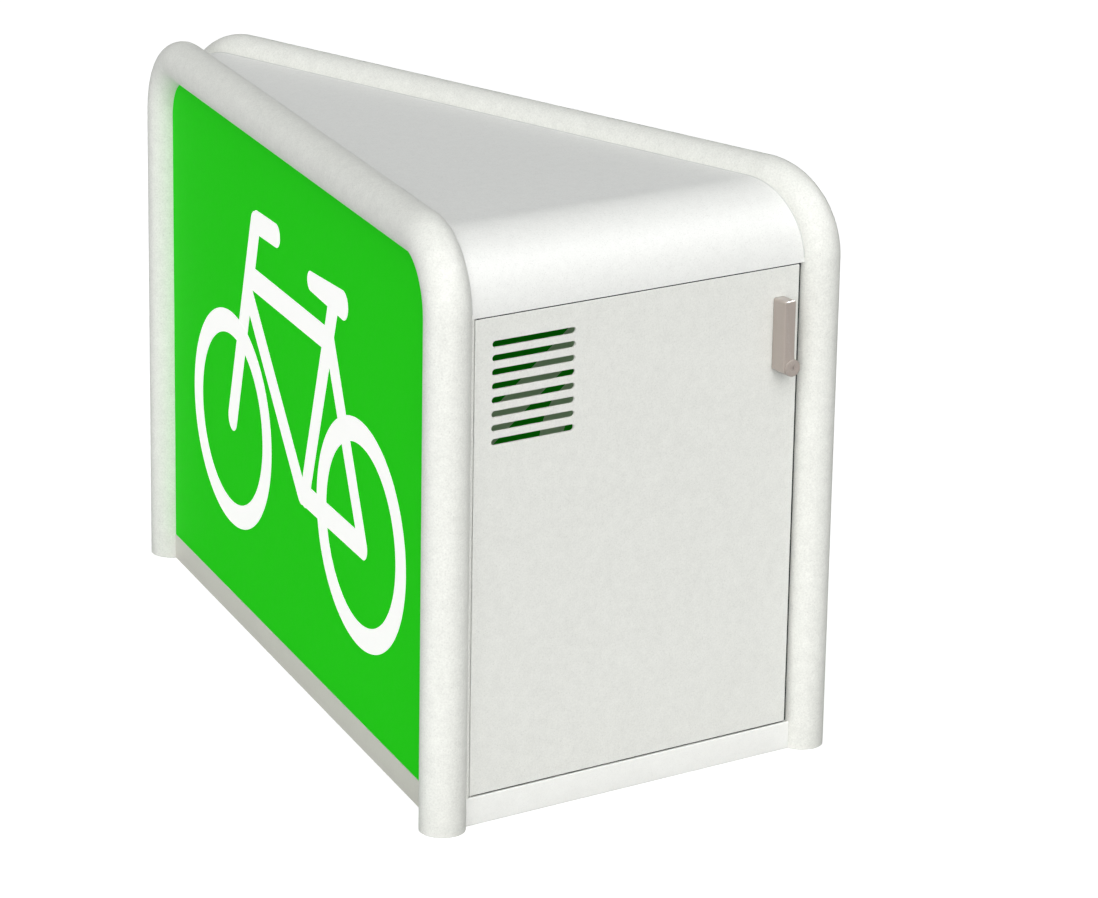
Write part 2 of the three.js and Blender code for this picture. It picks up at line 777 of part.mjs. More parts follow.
function buildDoorStiffeners() {
  const seat = -doorFaceLead + doorSheet + seatGap;
  const crown = seat + stiffenerDepth;
  const left = -doorHalfWidth + doorSheet + seatGap;
  const right = lowerRodX - rodWidth / 2 - stiffenerRodGap;
  const half = stiffenerCrown / 2;
  for (const [name, share] of stiffenerShares) {
    const z = doorBottom + share * (doorTop - doorBottom);
    const outline = polygon([
      [seat, z - half - stiffenerBrim],
      [seat + stiffenerSheet, z - half - stiffenerBrim],
      [seat + stiffenerSheet, z - half - stiffenerSheet],
      [crown, z - half],
      [crown, z + half],
      [seat + stiffenerSheet, z + half + stiffenerSheet],
      [seat + stiffenerSheet, z + half + stiffenerBrim],
      [seat, z + half + stiffenerBrim],
      [seat, z + half],
      [crown - stiffenerSheet, z + half - stiffenerSheet],
      [crown - stiffenerSheet, z - half + stiffenerSheet],
      [seat, z - half],
    ]);
    piece(locker, name, prism('x', outline, [left, right]), materials.door);
  }
}

// Pivot blocks in the door's left corners, with the pins that stand out of them
const pivotBlockHeight = 34;
const pivotBlockWidth = 34;

function buildPivots() {
  const inside = doorSheet + seatGap;
  const xRange = [-doorHalfWidth + inside, -doorHalfWidth + inside + pivotBlockWidth];
  const yRange = [-doorFaceLead + inside, doorRear - inside];
  const ends = [
    ['lower', doorBottom + inside, 1, thresholdHeight],
    ['upper', doorTop - inside, -1, fasciaBottom],
  ];
  for (const [name, seat, into, wall] of ends) {
    const deep = seat + into * pivotBlockHeight;
    const through = [seat - into * cutOver, deep + into * cutOver];
    const bore = bar('z', pivotPinRadius + seatGap, [pivotX, pivotY], through);
    const body = block(xRange, yRange, [seat, deep]).subtract(bore);
    piece(locker, `${name}_pivot_block`, body, materials.zinc);
    const pin = bar('z', pivotPinRadius, [pivotX, pivotY], [wall - into * pinEngagement, deep]);
    piece(locker, `${name}_pivot_pin`, pin, materials.steel);
  }
}

// Lock plate behind the door sheet, with the bearing of the handle's spindle and four screw holes
const spindleRadius = 7;
const spindleRunGap = 0.4;
const lockPlateWidth = 56;
const lockPlateHeight = 96;
const lockPlateThickness = 3;
const bearingRadius = 12;
const bearingLength = 2.5;
const lockScrewInset = 9;
const lockScrewHoleRadius = 2.5;

function buildLockPlate() {
  const seat = -doorFaceLead + doorSheet + seatGap;
  const plateRear = seat + lockPlateThickness;
  const halfWidth = lockPlateWidth / 2;
  const halfHeight = lockPlateHeight / 2;
  const axis = [handleX, handleAxisHeight];
  const outline = evenRectangle(
    [handleX - halfWidth, handleX + halfWidth],
    [handleAxisHeight - halfHeight, handleAxisHeight + halfHeight],
    doorEdge * 2,
  );
  const dx = halfWidth - lockScrewInset;
  const dz = halfHeight - lockScrewInset;
  const through = [seat - cutOver, plateRear + bearingLength + cutOver];
  const corners = [[-dx, -dz], [dx, -dz], [-dx, dz], [dx, dz]];
  const screwHoles = corners.map(([x, z]) => {
    const centre = [handleX + x, handleAxisHeight + z];
    return bar('y', lockScrewHoleRadius, centre, through, smallSides);
  });
  const bearing = bar('y', bearingRadius, axis, [seat, plateRear + bearingLength]);
  const plate = without(prism('y', outline, [seat, plateRear]).add(bearing), [
    bar('y', spindleRadius + spindleRunGap, axis, through),
    ...screwHoles,
  ]);
  piece(locker, 'lock_plate', plate, materials.zinc);
}

// Handle: a deep hollow lever with a round boss that turns on the door
const leverWidth = 27;
const leverOffset = 8;
const leverRise = 152;
const leverFoot = 15;
const leverWall = 3.5;
const leverFrontRadius = 6;
const leverBackRadius = 2.5;
const leverEdge = 1.5;
const bossRadius = 18;
const handleStandoff = 1.2;
const plugRadius = 7.5;
const plugDepth = 24;
const plugTailRadius = 3;
const plugTailLength = 8;
const keywayWidth = 2;
const keywayHeight = 8;
const keywayDepth = 12;

function buildHandle() {
  const back = -doorFaceLead - handleStandoff;
  const front = -frontReach;
  const axis = [handleX, handleAxisHeight];
  const right = handleX - leverOffset + leverWidth / 2;
  const left = right - leverWidth;
  const bottom = handleAxisHeight - leverFoot;
  const leverTop = handleAxisHeight + leverRise;
  const plan = roundedRectangle(
    [left, right],
    [front, back],
    [leverFrontRadius, leverFrontRadius, leverBackRadius, leverBackRadius],
  );
  const hollowTop = leverTop - leverWall;
  const hollowBottom = handleAxisHeight + bossRadius;
  const inside = [left + leverWall, right - leverWall];
  const hollow = block(inside, [front + leverWall, back + cutOver], [hollowBottom, hollowTop]);
  const boss = bar('y', bossRadius, axis, [front, back], tubeSides);
  const plugEnd = front + plugDepth;
  const tailEnd = plugEnd + plugTailLength;
  const lever = without(prism('z', plan, [bottom, leverTop], leverEdge).add(boss), [
    hollow,
    bar('y', spindleRadius + seatGap, axis, [tailEnd + 2 * seatGap, back + cutOver]),
    bar('y', plugRadius + seatGap, axis, [front - cutOver, plugEnd + seatGap]),
    bar('y', plugTailRadius + seatGap, axis, [front, back], smallSides),
  ]);
  piece(locker, 'lock_handle', lever, materials.handle);
  const keyway = block(
    [handleX - keywayWidth / 2, handleX + keywayWidth / 2],
    [front - cutOver, front + keywayDepth],
    [handleAxisHeight - keywayHeight / 2, handleAxisHeight + keywayHeight / 2],
  );
  const plug = bar('y', plugRadius, axis, [front, plugEnd])
    .add(bar('y', plugTailRadius, axis, [plugEnd, tailEnd], smallSides))
    .subtract(keyway);
  piece(locker, 'lock_plug', plug, materials.steel);
}

// Spindle, cam with its two pins, and the nut that holds the cam on
const camThickness = 4;
const camArmWidth = 18;
const camWashGap = 0.5;
const nutRadius = 8;
const nutHeight = 6;
const studRadius = 4;
const camFront = rodFront - camWashGap - camThickness;

function buildCam() {
  const axis = [handleX, handleAxisHeight];
  const spindleFront = -frontReach + plugDepth + plugTailLength + 3 * seatGap;
  const camSeat = camFront - seatGap;
  const nutSeat = camFront + camThickness + seatGap;
  const spindle = bar('y', spindleRadius, axis, [spindleFront, camSeat])
    .add(bar('y', studRadius, axis, [camSeat, nutSeat + nutHeight], smallSides));
  piece(locker, 'handle_spindle', spindle, materials.steel);
  const arm = evenRectangle(
    [-camPinThrow - camArmWidth / 2, camPinThrow + camArmWidth / 2],
    [-camArmWidth / 2, camArmWidth / 2],
    camArmWidth / 2,
  );
  const pinRange = [camFront, rodRear];
  const flat = prism('y', arm, [camFront, camFront + camThickness])
    .add(bar('y', camPinRadius, [camPinThrow, 0], pinRange, smallSides))
    .add(bar('y', camPinRadius, [-camPinThrow, 0], pinRange, smallSides))
    .subtract(bar('y', studRadius + seatGap, [0, 0], [camFront - cutOver, nutSeat + cutOver], smallSides));
  const degrees = THREE.MathUtils.radToDeg(camPinAngle);
  const cam = flat.rotate([0, degrees, 0]).translate([handleX, 0, handleAxisHeight]);
  piece(locker, 'lock_cam', cam, materials.steel);
  const nut = bar('y', nutRadius, axis, [nutSeat, nutSeat + nutHeight], hexSides)
    .subtract(bar('y', studRadius + seatGap, axis, [camFront, nutSeat + nutHeight + cutOver], smallSides));
  piece(locker, 'cam_nut', nut, materials.steel);
}

// Locking rods: flat bars with a cross slot for the cam pin, drawn in while the handle stands upright
const yokeWall = 6;
const yokeRunGap = 0.9;
const yokeEndGap = 0.9;
const upperShot = 26;
const lowerShot = 25;

function lockingRod(x, pinZ, tipZ, into) {
  const yoke = camPinRadius + yokeRunGap;
  const slotHalf = camPinThrow * (1 - Math.cos(camPinAngle)) / 2 + camPinRadius + yokeEndGap;
  const tail = pinZ - into * (yoke + yokeWall);
  const half = rodWidth / 2;
  const blank = polygon([
    [x - half, tail],
    [x + half, tail],
    [x + half, tipZ - into * rodTipBevel],
    [x + half - rodTipBevel, tipZ],
    [x - half + rodTipBevel, tipZ],
    [x - half, tipZ - into * rodTipBevel],
  ]);
  const slot = evenRectangle([x - slotHalf, x + slotHalf], [pinZ - yoke, pinZ + yoke], yoke - seatGap);
  return prism('y', blank, [rodFront, rodRear])
    .subtract(prism('y', slot, [rodFront - cutOver, rodRear + cutOver]));
}

function buildRods() {
  const drawn = rodStroke / 2;
  const upperTip = fasciaBottom + upperShot - rodStroke;
  const lowerTip = thresholdHeight - lowerShot + rodStroke;
  const upper = lockingRod(upperRodX, handleAxisHeight - drawn, upperTip, 1);
  const lower = lockingRod(lowerRodX, handleAxisHeight + drawn, lowerTip, -1);
  piece(locker, 'upper_locking_rod', upper, materials.zinc);
  piece(locker, 'lower_locking_rod', lower, materials.zinc);
}

// Guides that carry the rods on the back of the door sheet
const guideWall = 4;
const guideHeight = 18;
const guideRear = 3;
const guideEdgeInset = 38;
const guidePlateGap = 36;
const upperGuideHeight = doorTop - guideEdgeInset;
const lowerGuideHeight = doorBottom + guideEdgeInset;
const innerGuideHeight = handleAxisHeight - lockPlateHeight / 2 - guidePlateGap;
const guidePlaces = [
  ['upper_rod_inner_guide', upperRodX, (handleAxisHeight + lockPlateHeight / 2 + upperGuideHeight) / 2],
  ['upper_rod_outer_guide', upperRodX, upperGuideHeight],
  ['lower_rod_inner_guide', lowerRodX, innerGuideHeight],
  ['lower_rod_middle_guide', lowerRodX, (innerGuideHeight + lowerGuideHeight) / 2],
  ['lower_rod_outer_guide', lowerRodX, lowerGuideHeight],
];

function buildGuides() {
  const seat = -doorFaceLead + doorSheet + seatGap;
  const rear = rodRear + rodRunGap + guideRear;
  const half = rodWidth / 2 + rodRunGap + guideWall;
  for (const [name, x, z] of guidePlaces) {
    const zRange = [z - guideHeight / 2, z + guideHeight / 2];
    const window = rodWindow(x, [zRange[0] - cutOver, zRange[1] + cutOver], seatGap);
    const guide = block([x - half, x + half], [seat, rear], zRange).subtract(window);
    piece(locker, name, guide, materials.nylon);
  }
}

buildHoops();
buildFootPlugs();
buildSideSheets();
buildBaseRails();
buildThreshold();
buildHeader();
buildRoof();
buildRoofAngles();
buildRoofBows();
buildJambs();
buildSpine();
buildPivotBushes();
buildKeepers();
buildFloor();
buildAnchorBrackets();
buildDoorSkin();
buildDoorStiffeners();
buildPivots();
buildLockPlate();
buildHandle();
buildCam();
buildRods();
buildGuides();

export default locker;
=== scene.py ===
"""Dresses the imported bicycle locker: smooth tubes, folded sheets, sign, door pan, lock, finishes.

Metres, +Z up, the door on the -Y side, ground at z = 0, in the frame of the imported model.
"""

from __future__ import annotations

import logging
import math
from collections.abc import Callable, Iterable
from dataclasses import dataclass, field
from enum import Enum

import bmesh
import bpy
import numpy as np
from mathutils import Matrix, Vector


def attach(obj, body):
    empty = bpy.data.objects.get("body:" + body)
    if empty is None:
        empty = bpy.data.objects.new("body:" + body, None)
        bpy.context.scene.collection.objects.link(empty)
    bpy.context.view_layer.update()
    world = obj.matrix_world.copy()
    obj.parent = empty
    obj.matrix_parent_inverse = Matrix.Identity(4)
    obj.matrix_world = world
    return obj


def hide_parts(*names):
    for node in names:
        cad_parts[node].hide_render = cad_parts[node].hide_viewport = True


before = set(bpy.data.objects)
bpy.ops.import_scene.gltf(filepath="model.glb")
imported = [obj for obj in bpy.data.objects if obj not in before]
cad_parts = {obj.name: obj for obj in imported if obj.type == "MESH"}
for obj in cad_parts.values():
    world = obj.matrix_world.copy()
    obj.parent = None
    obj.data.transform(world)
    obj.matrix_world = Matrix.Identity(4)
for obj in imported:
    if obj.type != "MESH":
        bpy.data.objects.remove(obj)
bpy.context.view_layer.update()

LOG = logging.getLogger("locker")
Mesh, Node, Socket = bpy.types.Mesh, bpy.types.Node, bpy.types.NodeSocket
Items = bpy.types.bpy_prop_collection
Array = np.ndarray
Pair = tuple[float, float]
Triple = tuple[float, float, float]
Outline = Callable[[float], Array]
Place = Callable[[Array, Array, Array], Array]

MM = 0.001
QUARTER = math.pi / 2
WELD = 2e-6
ROUND_STEPS = 6
SUPPORT = 2.5 * MM
EDGE_WIDTH = 0.9 * MM
FLAT_ANGLE, CURVE_ANGLE, SMOOTH_ANGLE, FOLD_ANGLE = map(math.radians, (1, 2, 35, 40))


# ---- Mesh building ----


@dataclass
class Skin:
    """Gathers the grids of points that make one piece's surface."""

    points: list[Array] = field(default_factory=list)
    quads: list[Array] = field(default_factory=list)
    slots: list[Array] = field(default_factory=list)

    def grid(self, surface: Array, rows: bool = False, cols: bool = True, slot: int = 0) -> Skin:
        """Adds a surface; every cell between four neighbouring points becomes one quad.

        Args:
            surface: Points as rows x columns x 3.
            rows: Joins the last row to the first.
            cols: Joins the last column to the first.
            slot: Material slot of these quads.

        Returns:
            The skin itself.
        """
        shape = surface.shape[:2]
        index = np.arange(shape[0] * shape[1]).reshape(shape) + sum(map(len, self.points))
        index = np.pad(index, ((0, rows), (0, cols)), "wrap")
        cells = np.stack([index[:-1, :-1], index[:-1, 1:], index[1:, 1:], index[1:, :-1]], -1)
        self.points.append(surface.reshape(-1, 3))
        self.quads.append(cells.reshape(-1, 4))
        self.slots.append(np.full(len(self.quads[-1]), slot))
        return self

    def drop(self, low: tuple[float, ...], high: tuple[float, ...]) -> None:
        """Takes out every quad whose centre lies in the box from low to high."""
        every = np.vstack(self.points)
        for part, quads in enumerate(self.quads):
            centre = every[quads].mean(1)
            keep = ~np.all((centre > low) & (centre < high), axis=1)
            self.quads[part], self.slots[part] = quads[keep], self.slots[part][keep]

    def mesh(self, name: str) -> Mesh:
        """Welds the grids into one mesh with outward normals and an edge attribute for wear.

        Args:
            name: Name of the new mesh.

        Returns:
            The mesh, smooth within the smoothing angle and sharp beyond it.
        """
        mesh = bpy.data.meshes.new(name)
        mesh.from_pydata(np.vstack(self.points), [], np.vstack(self.quads))
        mesh.polygons.foreach_set("material_index", np.concatenate(self.slots).astype(np.int32))
        work = bmesh.new()
        work.from_mesh(mesh)
        bmesh.ops.remove_doubles(work, verts=work.verts, dist=WELD)
        bmesh.ops.dissolve_degenerate(work, edges=work.edges, dist=WELD / 4)
        bmesh.ops.recalc_face_normals(work, faces=work.faces)
        work.to_mesh(mesh)
        work.free()
        mesh.polygons.foreach_set("use_smooth", np.ones(len(mesh.polygons), bool))
        mesh.set_sharp_from_angle(angle=SMOOTH_ANGLE)
        mark_edges(mesh)
        return mesh


def read(items: Items, name: str, kind: type, width: int = 1) -> Array:
    """One property of every item of a mesh as an array of items x width, or flat for width 1."""
    values = np.zeros(len(items) * width, kind)
    items.foreach_get(name, values)
    return values.reshape(-1, width) if width > 1 else values


def mark_edges(mesh: Mesh) -> None:
    """Writes the attribute edge on face corners: 1 on narrow faces that round an edge, else 0.

    A face's width is taken as its area over its longest side.
    """
    total = read(mesh.polygons, "loop_total", np.int32)
    ends = read(mesh.vertices, "co", np.float32, 3)[read(mesh.edges, "vertices", np.int32, 2)]
    length = np.linalg.norm(ends[:, 0] - ends[:, 1], axis=1)
    face = np.repeat(np.arange(len(total)), total)
    longest = np.full(len(total), 1e-9)
    np.maximum.at(longest, face, length[read(mesh.loops, "edge_index", np.int32)])
    narrow = read(mesh.polygons, "area", np.float32) / longest < EDGE_WIDTH
    layer = mesh.attributes.new("edge", "FLOAT", "CORNER")
    layer.data.foreach_set("value", narrow.astype(np.float32)[face])


# ---- Lines and sections ----


def stack(*parts: Array | float) -> Array:
    """Joins coordinates, each an array or one number, to points along a new last axis."""
    return np.stack(np.broadcast_arrays(*parts), -1)


def level(line: Array, height: Array | float) -> Array:
    """A flat line, N x 2, at one or N heights, as N x 3."""
    return stack(line[:, 0], line[:, 1], height)


def levels(pairs: Iterable[tuple[Array, Array | float]]) -> Array:
    """Rows of points: flat lines, each with its height."""
    return np.stack([level(line, height) for line, height in pairs])


def unit(turn: Array) -> Array:
    """Cosine and sine of turns as N x 2."""
    return stack(np.cos(turn), np.sin(turn))


def round_trip(steps: int) -> Array:
    """Even points once round a unit circle, as N x 2."""
    return unit(np.linspace(0, 2 * math.pi, steps, endpoint=False))


def arc(centre: Pair, radius: float, start: float, end: float, steps: int) -> Array:
    """Points on a circle arc: the centre plus the radius times the unit vectors of even turns."""
    return centre + radius * unit(np.linspace(start, end, steps + 1))


def quarter_round(radius: float, steps: int) -> list[Pair]:
    """A rounded edge as pairs of inset and depth, radius times one less sine or cosine."""
    turn = np.linspace(0, QUARTER, steps + 1)
    return list(zip(radius * (1 - np.sin(turn)), radius * (1 - np.cos(turn))))


def left_of(steps: Array) -> Array:
    """Unit vectors a quarter turn to the left of steps given as N x 2."""
    steps = steps / np.linalg.norm(steps, axis=1, keepdims=True)
    return stack(-steps[:, 1], steps[:, 0])


def within(values: Array, low: float, high: float, slack: float = WELD) -> Array:
    """The values between two bounds, which are widened by the slack."""
    return values[(values > low - slack) & (values < high + slack)]


def window_ring(us: Array, low: float, high: float) -> Array:
    """Border of a window as N x 2: along its low side and back along its high side."""
    return np.vstack([stack(us, low), stack(us[::-1], high)])


def capped(rows: Array) -> Array:
    """Rows of points between two more, whose points all stand at the middle of the end row."""
    ends = [np.broadcast_to(row.mean(0), row.shape) for row in (rows[0], rows[-1])]
    return np.stack([ends[0], *rows, ends[1]])


def spin_rows(profile: list[Pair], steps: int = 32) -> Array:
    """Turns a profile of radius and height about the height axis; rows are circles in (u, v, h)."""
    radius, height = np.array(profile).T
    ring = radius[:, None, None] * round_trip(steps)
    return stack(ring[..., 0], ring[..., 1], height[:, None])


@dataclass(frozen=True)
class Box2:
    """A rectangle in a plane with rounded corners: low-low, high-low, high-high and low-high."""

    u0: float
    u1: float
    v0: float
    v1: float
    radii: tuple[float, float, float, float]
    steps: int = ROUND_STEPS
    along_u: Array | tuple[float, ...] = ()
    along_v: Array | tuple[float, ...] = ()

    def outline(self, inset: float = 0.0) -> Array:
        """Walks round the rectangle, counter-clockwise, set in by a distance.

        Four quarter arcs stand in the corners, each radius less by the inset. Between two arcs
        stand extra points at the given u or v, held within the straight part.

        Args:
            inset: How far the outline lies inside the rectangle.

        Returns:
            Points as N x 2; N doesn't depend on the inset.
        """
        us, vs = (self.u0 + inset, self.u1 - inset), (self.v0 + inset, self.v1 - inset)
        corners = []
        for rank, radius in enumerate(self.radii):
            r = max(radius - inset, 0.0)
            right, upper = rank in (1, 2), rank in (2, 3)
            centre = (us[right] + (-r if right else r), vs[upper] + (-r if upper else r))
            start = (rank + 2) % 4 * QUARTER
            corners.append(arc(centre, r, start, start + QUARTER, self.steps))
        lines = (self.along_u, self.along_v, self.along_u[::-1], self.along_v[::-1])
        walk = []
        for side, corner in enumerate(corners):
            axis = side % 2
            start, end = corner[-1], corners[(side + 1) % 4][0]
            extra = np.clip(lines[side], *sorted((start[axis], end[axis])))
            walk += [corner, stack(start[0], extra) if axis else stack(extra, start[1])]
        return np.vstack(walk)


def plate_rows(outline: Outline, radius: float, low: float, high: float) -> Array:
    """A plate between two heights with both edges rounded and both faces closed at the middle.

    Two quarter arcs join at the rim, and a support row beyond each keeps the faces flat.
    """
    lower = [(inset, low + depth) for inset, depth in quarter_round(radius, 3)]
    upper = [(inset, high - (height - low)) for inset, height in reversed(lower)]
    profile = [(radius + SUPPORT, low), *lower, *upper, (radius + SUPPORT, high)]
    return capped(levels((outline(inset), height) for inset, height in profile))


def hollow_bar(box: Box2, wall: float, ends: Callable[[Array], tuple[Array, Array]], place: Place,
               stations: Array | None = None) -> Skin:
    """Extrudes a box's outline and the same one set in by the wall.

    Args:
        box: The section's rectangle.
        wall: Thickness of the wall.
        ends: Gives the start and the end along the axis for the u of the section's points.
        place: Turns section u, section v and way along the axis into world points.
        stations: Ways between the ends where every line has a point; else the middle.

    Returns:
        The closed surface.
    """
    skin, walls = Skin(), []
    for line in (box.outline(), box.outline(wall)):
        start, end = ends(line[:, 0])
        if stations is None:
            between = [(start + end) / 2]
        else:
            between = [np.full(len(line), way) for way in stations]
        walls.append(place(line[:, 0], line[:, 1], np.stack([start, *between, end])))
        skin.grid(walls[-1])
    for row in (0, -1):
        skin.grid(np.stack([wall[row] for wall in walls]))
    return skin


@dataclass(frozen=True)
class Opening:
    """A slot with round ends, or a round hole, within its own cell of a grid."""

    centre: Pair
    straight: float
    radius: float
    cell: tuple[float, float, float, float]

    def rings(self, lines_u: Array, lines_v: Array) -> tuple[Array, Outline]:
        """Pairs the cell's border with the slot's edge.

        The border holds the grid's own points. Over the slot's straight part a point of the edge
        has the border point's u, and round an end the edge's points stand at even turns.

        Args:
            lines_u: All u lines of the grid.
            lines_v: All v lines of the grid.

        Returns:
            The border as N x 2, and a function that gives the edge for an offset outward of it.
        """
        (u0, u1, v0, v1), (cu, cv), half = self.cell, self.centre, self.straight
        us, vs = within(lines_u, u0, u1), within(lines_v, v0, v1)[1:-1]
        right, left = us[us > cu + half - WELD], us[us < cu - half + WELD]
        middle = within(us, cu - half, cu + half, -WELD)
        cap = [stack(right, v0), stack(u1, vs), stack(right[::-1], v1)]
        tail = [stack(left[::-1], v1), stack(u0, vs[::-1]), stack(left, v0)]
        closed = half >= WELD
        if not closed:
            cap[2], tail[2] = cap[2][:-1], tail[2][:-1]
        border = np.vstack([*cap, stack(middle[::-1], v1), *tail, stack(middle, v0)])
        ends = [(side, sum(map(len, lines))) for side, lines in ((1, cap), (-1, tail))]

        def edge(offset: float) -> Array:
            """The slot's edge, moved outward."""
            radius = self.radius + offset
            turns = [np.linspace(-side * QUARTER, (2 - side) * QUARTER, count, endpoint=closed)
                     for side, count in ends]
            caps = [(cu + side * half, cv) + radius * unit(turn)
                    for (side, _), turn in zip(ends, turns)]
            return np.vstack([caps[0], stack(middle[::-1], cv + radius),
                              caps[1], stack(middle, cv - radius)])

        return border, edge


# ---- The locker's plan ----


@dataclass(frozen=True)
class Plan:
    """Driving sizes of the locker and the places that follow from them."""

    height: float = 1.335
    leg_spacing: float = 0.966
    depth: float = 1.8852
    rear_gap: float = 0.6 * MM
    tube: float = 50.8 * MM
    wall: float = 3 * MM
    bend: float = 152.4 * MM
    door_lead: float = 17 * MM
    handle_reach: float = 47 * MM
    gap: float = 0.3 * MM

    @property
    def half(self) -> float:
        """Half of the front legs' spacing."""
        return self.leg_spacing / 2

    @property
    def angle(self) -> float:
        """Angle between a hoop's plane and the locker's middle plane."""
        return math.atan2(self.half - self.tube - self.rear_gap / 2, self.depth)

    @property
    def length(self) -> float:
        """Distance between a hoop's two leg axes."""
        return self.depth / math.cos(self.angle)

    @property
    def shift(self) -> float:
        """World Y of the front legs' axes."""
        return -(self.depth + self.tube - self.door_lead - self.handle_reach) / 2

    @property
    def axis_height(self) -> float:
        """Height of the top tubes' axis."""
        return self.height - self.tube

    def beside(self, side: int) -> Place:
        """Places points given outward of a hoop's plane, along it, and up."""
        def place(outward: Array, way: Array, up: Array) -> Array:
            """World points."""
            cos, sin = math.cos(self.angle), math.sin(self.angle)
            x = side * (self.half + outward * cos - way * sin)
            return stack(x, self.shift + outward * sin + way * cos, up)
        return place

    def half_width(self, y: Array | float) -> Array | float:
        """Half of the clear width between the hoops at a world Y."""
        inside = self.half - (y - self.shift) * math.tan(self.angle)
        return inside - (self.tube + self.gap) / math.cos(self.angle)

    def leg_reach(self, off: Array) -> Array:
        """How far a leg's surface reaches at a distance off its axis, with the seating gap."""
        return np.sqrt(np.maximum((self.tube + self.gap) ** 2 - off**2, 0))


@dataclass(frozen=True)
class Gear:
    """Where the door's pivots and lock stand in the plan."""

    plan: Plan = Plan()
    door_half: float = 0.422
    low: float = 68 * MM
    high: float = 1.129
    depth: float = 28 * MM
    sheet: float = 2 * MM
    pivot_inset: float = 16 * MM
    pin: float = 6 * MM
    handle_inset: float = 45 * MM
    handle_drop: float = 0.217
    throw: float = 24 * MM
    rod: Pair = (24 * MM, 5 * MM)
    rod_depth: float = 17 * MM
    slack: float = 0.8 * MM

    @property
    def front(self) -> float:
        """World Y of the door's face."""
        return self.plan.shift - self.plan.door_lead

    @property
    def pivot(self) -> Pair:
        """World X and Y of the pivot pins."""
        return -self.door_half + self.pivot_inset, self.front + self.pivot_inset

    @property
    def axis(self) -> Pair:
        """World X and Z of the handle's axis."""
        return self.door_half - self.handle_inset, self.high - self.handle_drop

    @property
    def rods(self) -> Pair:
        """World X of the upper and the lower rod."""
        offset = self.throw * (1 + math.cos(QUARTER / 2)) / 2
        return self.axis[0] + offset, self.axis[0] - offset

    @property
    def window(self) -> tuple[float, Array]:
        """A rod's opening: half of its width, and the depths of its sides behind the face."""
        sides = self.rod_depth - self.slack, self.rod_depth + self.rod[1] + self.slack
        return self.rod[0] / 2 + self.slack, np.array(sides)

    def on_door(self, rows: Array) -> Array:
        """Carries world X, world Z and depth behind the door's face to world points."""
        return stack(rows[..., 0], self.front + rows[..., 2], rows[..., 1])


GEAR = Gear()
PLAN = GEAR.plan
SIDES = {"left": -1, "right": 1}


# ---- Shader groups ----


@dataclass
class Graph:
    """Adds nodes to a node tree and links them."""

    tree: bpy.types.NodeTree

    def fill(self, node: Node, inputs: dict[str | int, object]) -> Node:
        """Links sockets to a node's inputs or sets values; colours get full alpha."""
        for key, value in inputs.items():
            socket = node.inputs[key]
            if isinstance(value, Socket):
                self.tree.links.new(value, socket)
            else:
                socket.default_value = (*value, 1.0) if socket.type == "RGBA" else value
        return node

    def add(self, kind: str, inputs: dict[str | int, object] | None = None,
            **settings: object) -> Node:
        """Makes a node.

        Args:
            kind: Type of the node without the word ShaderNode.
            inputs: Values or sockets for the node's inputs.
            settings: Properties of the node.

        Returns:
            The node.
        """
        node = self.tree.nodes.new("ShaderNode" + kind)
        for key, value in settings.items():
            setattr(node, key, value)
        return self.fill(node, inputs or {})

    def math(self, operation: str, *values: object) -> Socket:
        """Result of a Math node."""
        return self.add("Math", dict(enumerate(values)), operation=operation).outputs[0]

    def swing(self, value: object, gain: object) -> Socket:
        """A value between 0 and 1 as a swing about zero, times a gain."""
        return self.math("MULTIPLY", self.math("SUBTRACT", value, 0.5), gain)

    def remap(self, value: object, *ends: float) -> Socket:
        """Result of a clamped Map Range node; the ends are low, high, new low and new high."""
        return self.add("MapRange", dict(enumerate((value, *ends)))).outputs[0]

    def mix(self, factor: object, first: object, second: object, blend: str = "MIX") -> Socket:
        """Colour result of a Mix node."""
        inputs = {0: factor, 6: first, 7: second}
        return self.add("Mix", inputs, data_type="RGBA", blend_type=blend).outputs[2]

    def noise(self, vector: object, scale: object, detail: float, rough: float) -> Socket:
        """Noise value at a scale given per metre."""
        inputs = {"Vector": vector, "Scale": scale, "Detail": detail, "Roughness": rough}
        return self.add("TexNoise", inputs).outputs[0]

    def cells(self, vector: object, scale: object) -> tuple[Socket, ...]:
        """Cells at a scale given per metre: distance to the middle, and a chance value per cell."""
        cells = self.add("TexVoronoi", {"Vector": vector, "Scale": scale}).outputs
        return cells["Distance"], self.add("SeparateColor", {0: cells["Color"]}).outputs[0]

    def group(self, name: str, inputs: dict[str, object]) -> Items:
        """Places a shared effect with its own values; gives its outputs."""
        return self.add("Group", inputs, node_tree=bpy.data.node_groups[name]).outputs


Group = tuple[Graph, dict[str, Socket], Node]


def start_group(name: str, colours: str, values: str, results: str = "",
                vectors: str = "Vector") -> Group:
    """Starts a shader node group whose first result is a colour.

    Args:
        name: Name of the effect.
        colours: Names of its colour inputs, with a space between them.
        values: Names of its number inputs.
        results: Names of its number outputs.
        vectors: Names of its vector inputs.

    Returns:
        The graph of the group, its inputs by name and its output node.
    """
    tree = bpy.data.node_groups.new(name, "ShaderNodeTree")
    sockets = (("INPUT", "Vector", vectors), ("INPUT", "Color", colours),
               ("INPUT", "Float", values), ("OUTPUT", "Color", "Color"),
               ("OUTPUT", "Float", results))
    for way, kind, labels in sockets:
        for label in labels.split():
            tree.interface.new_socket(label, in_out=way, socket_type="NodeSocket" + kind)
    inputs = {socket.name: socket for socket in tree.nodes.new("NodeGroupInput").outputs}
    return Graph(tree), inputs, tree.nodes.new("NodeGroupOutput")


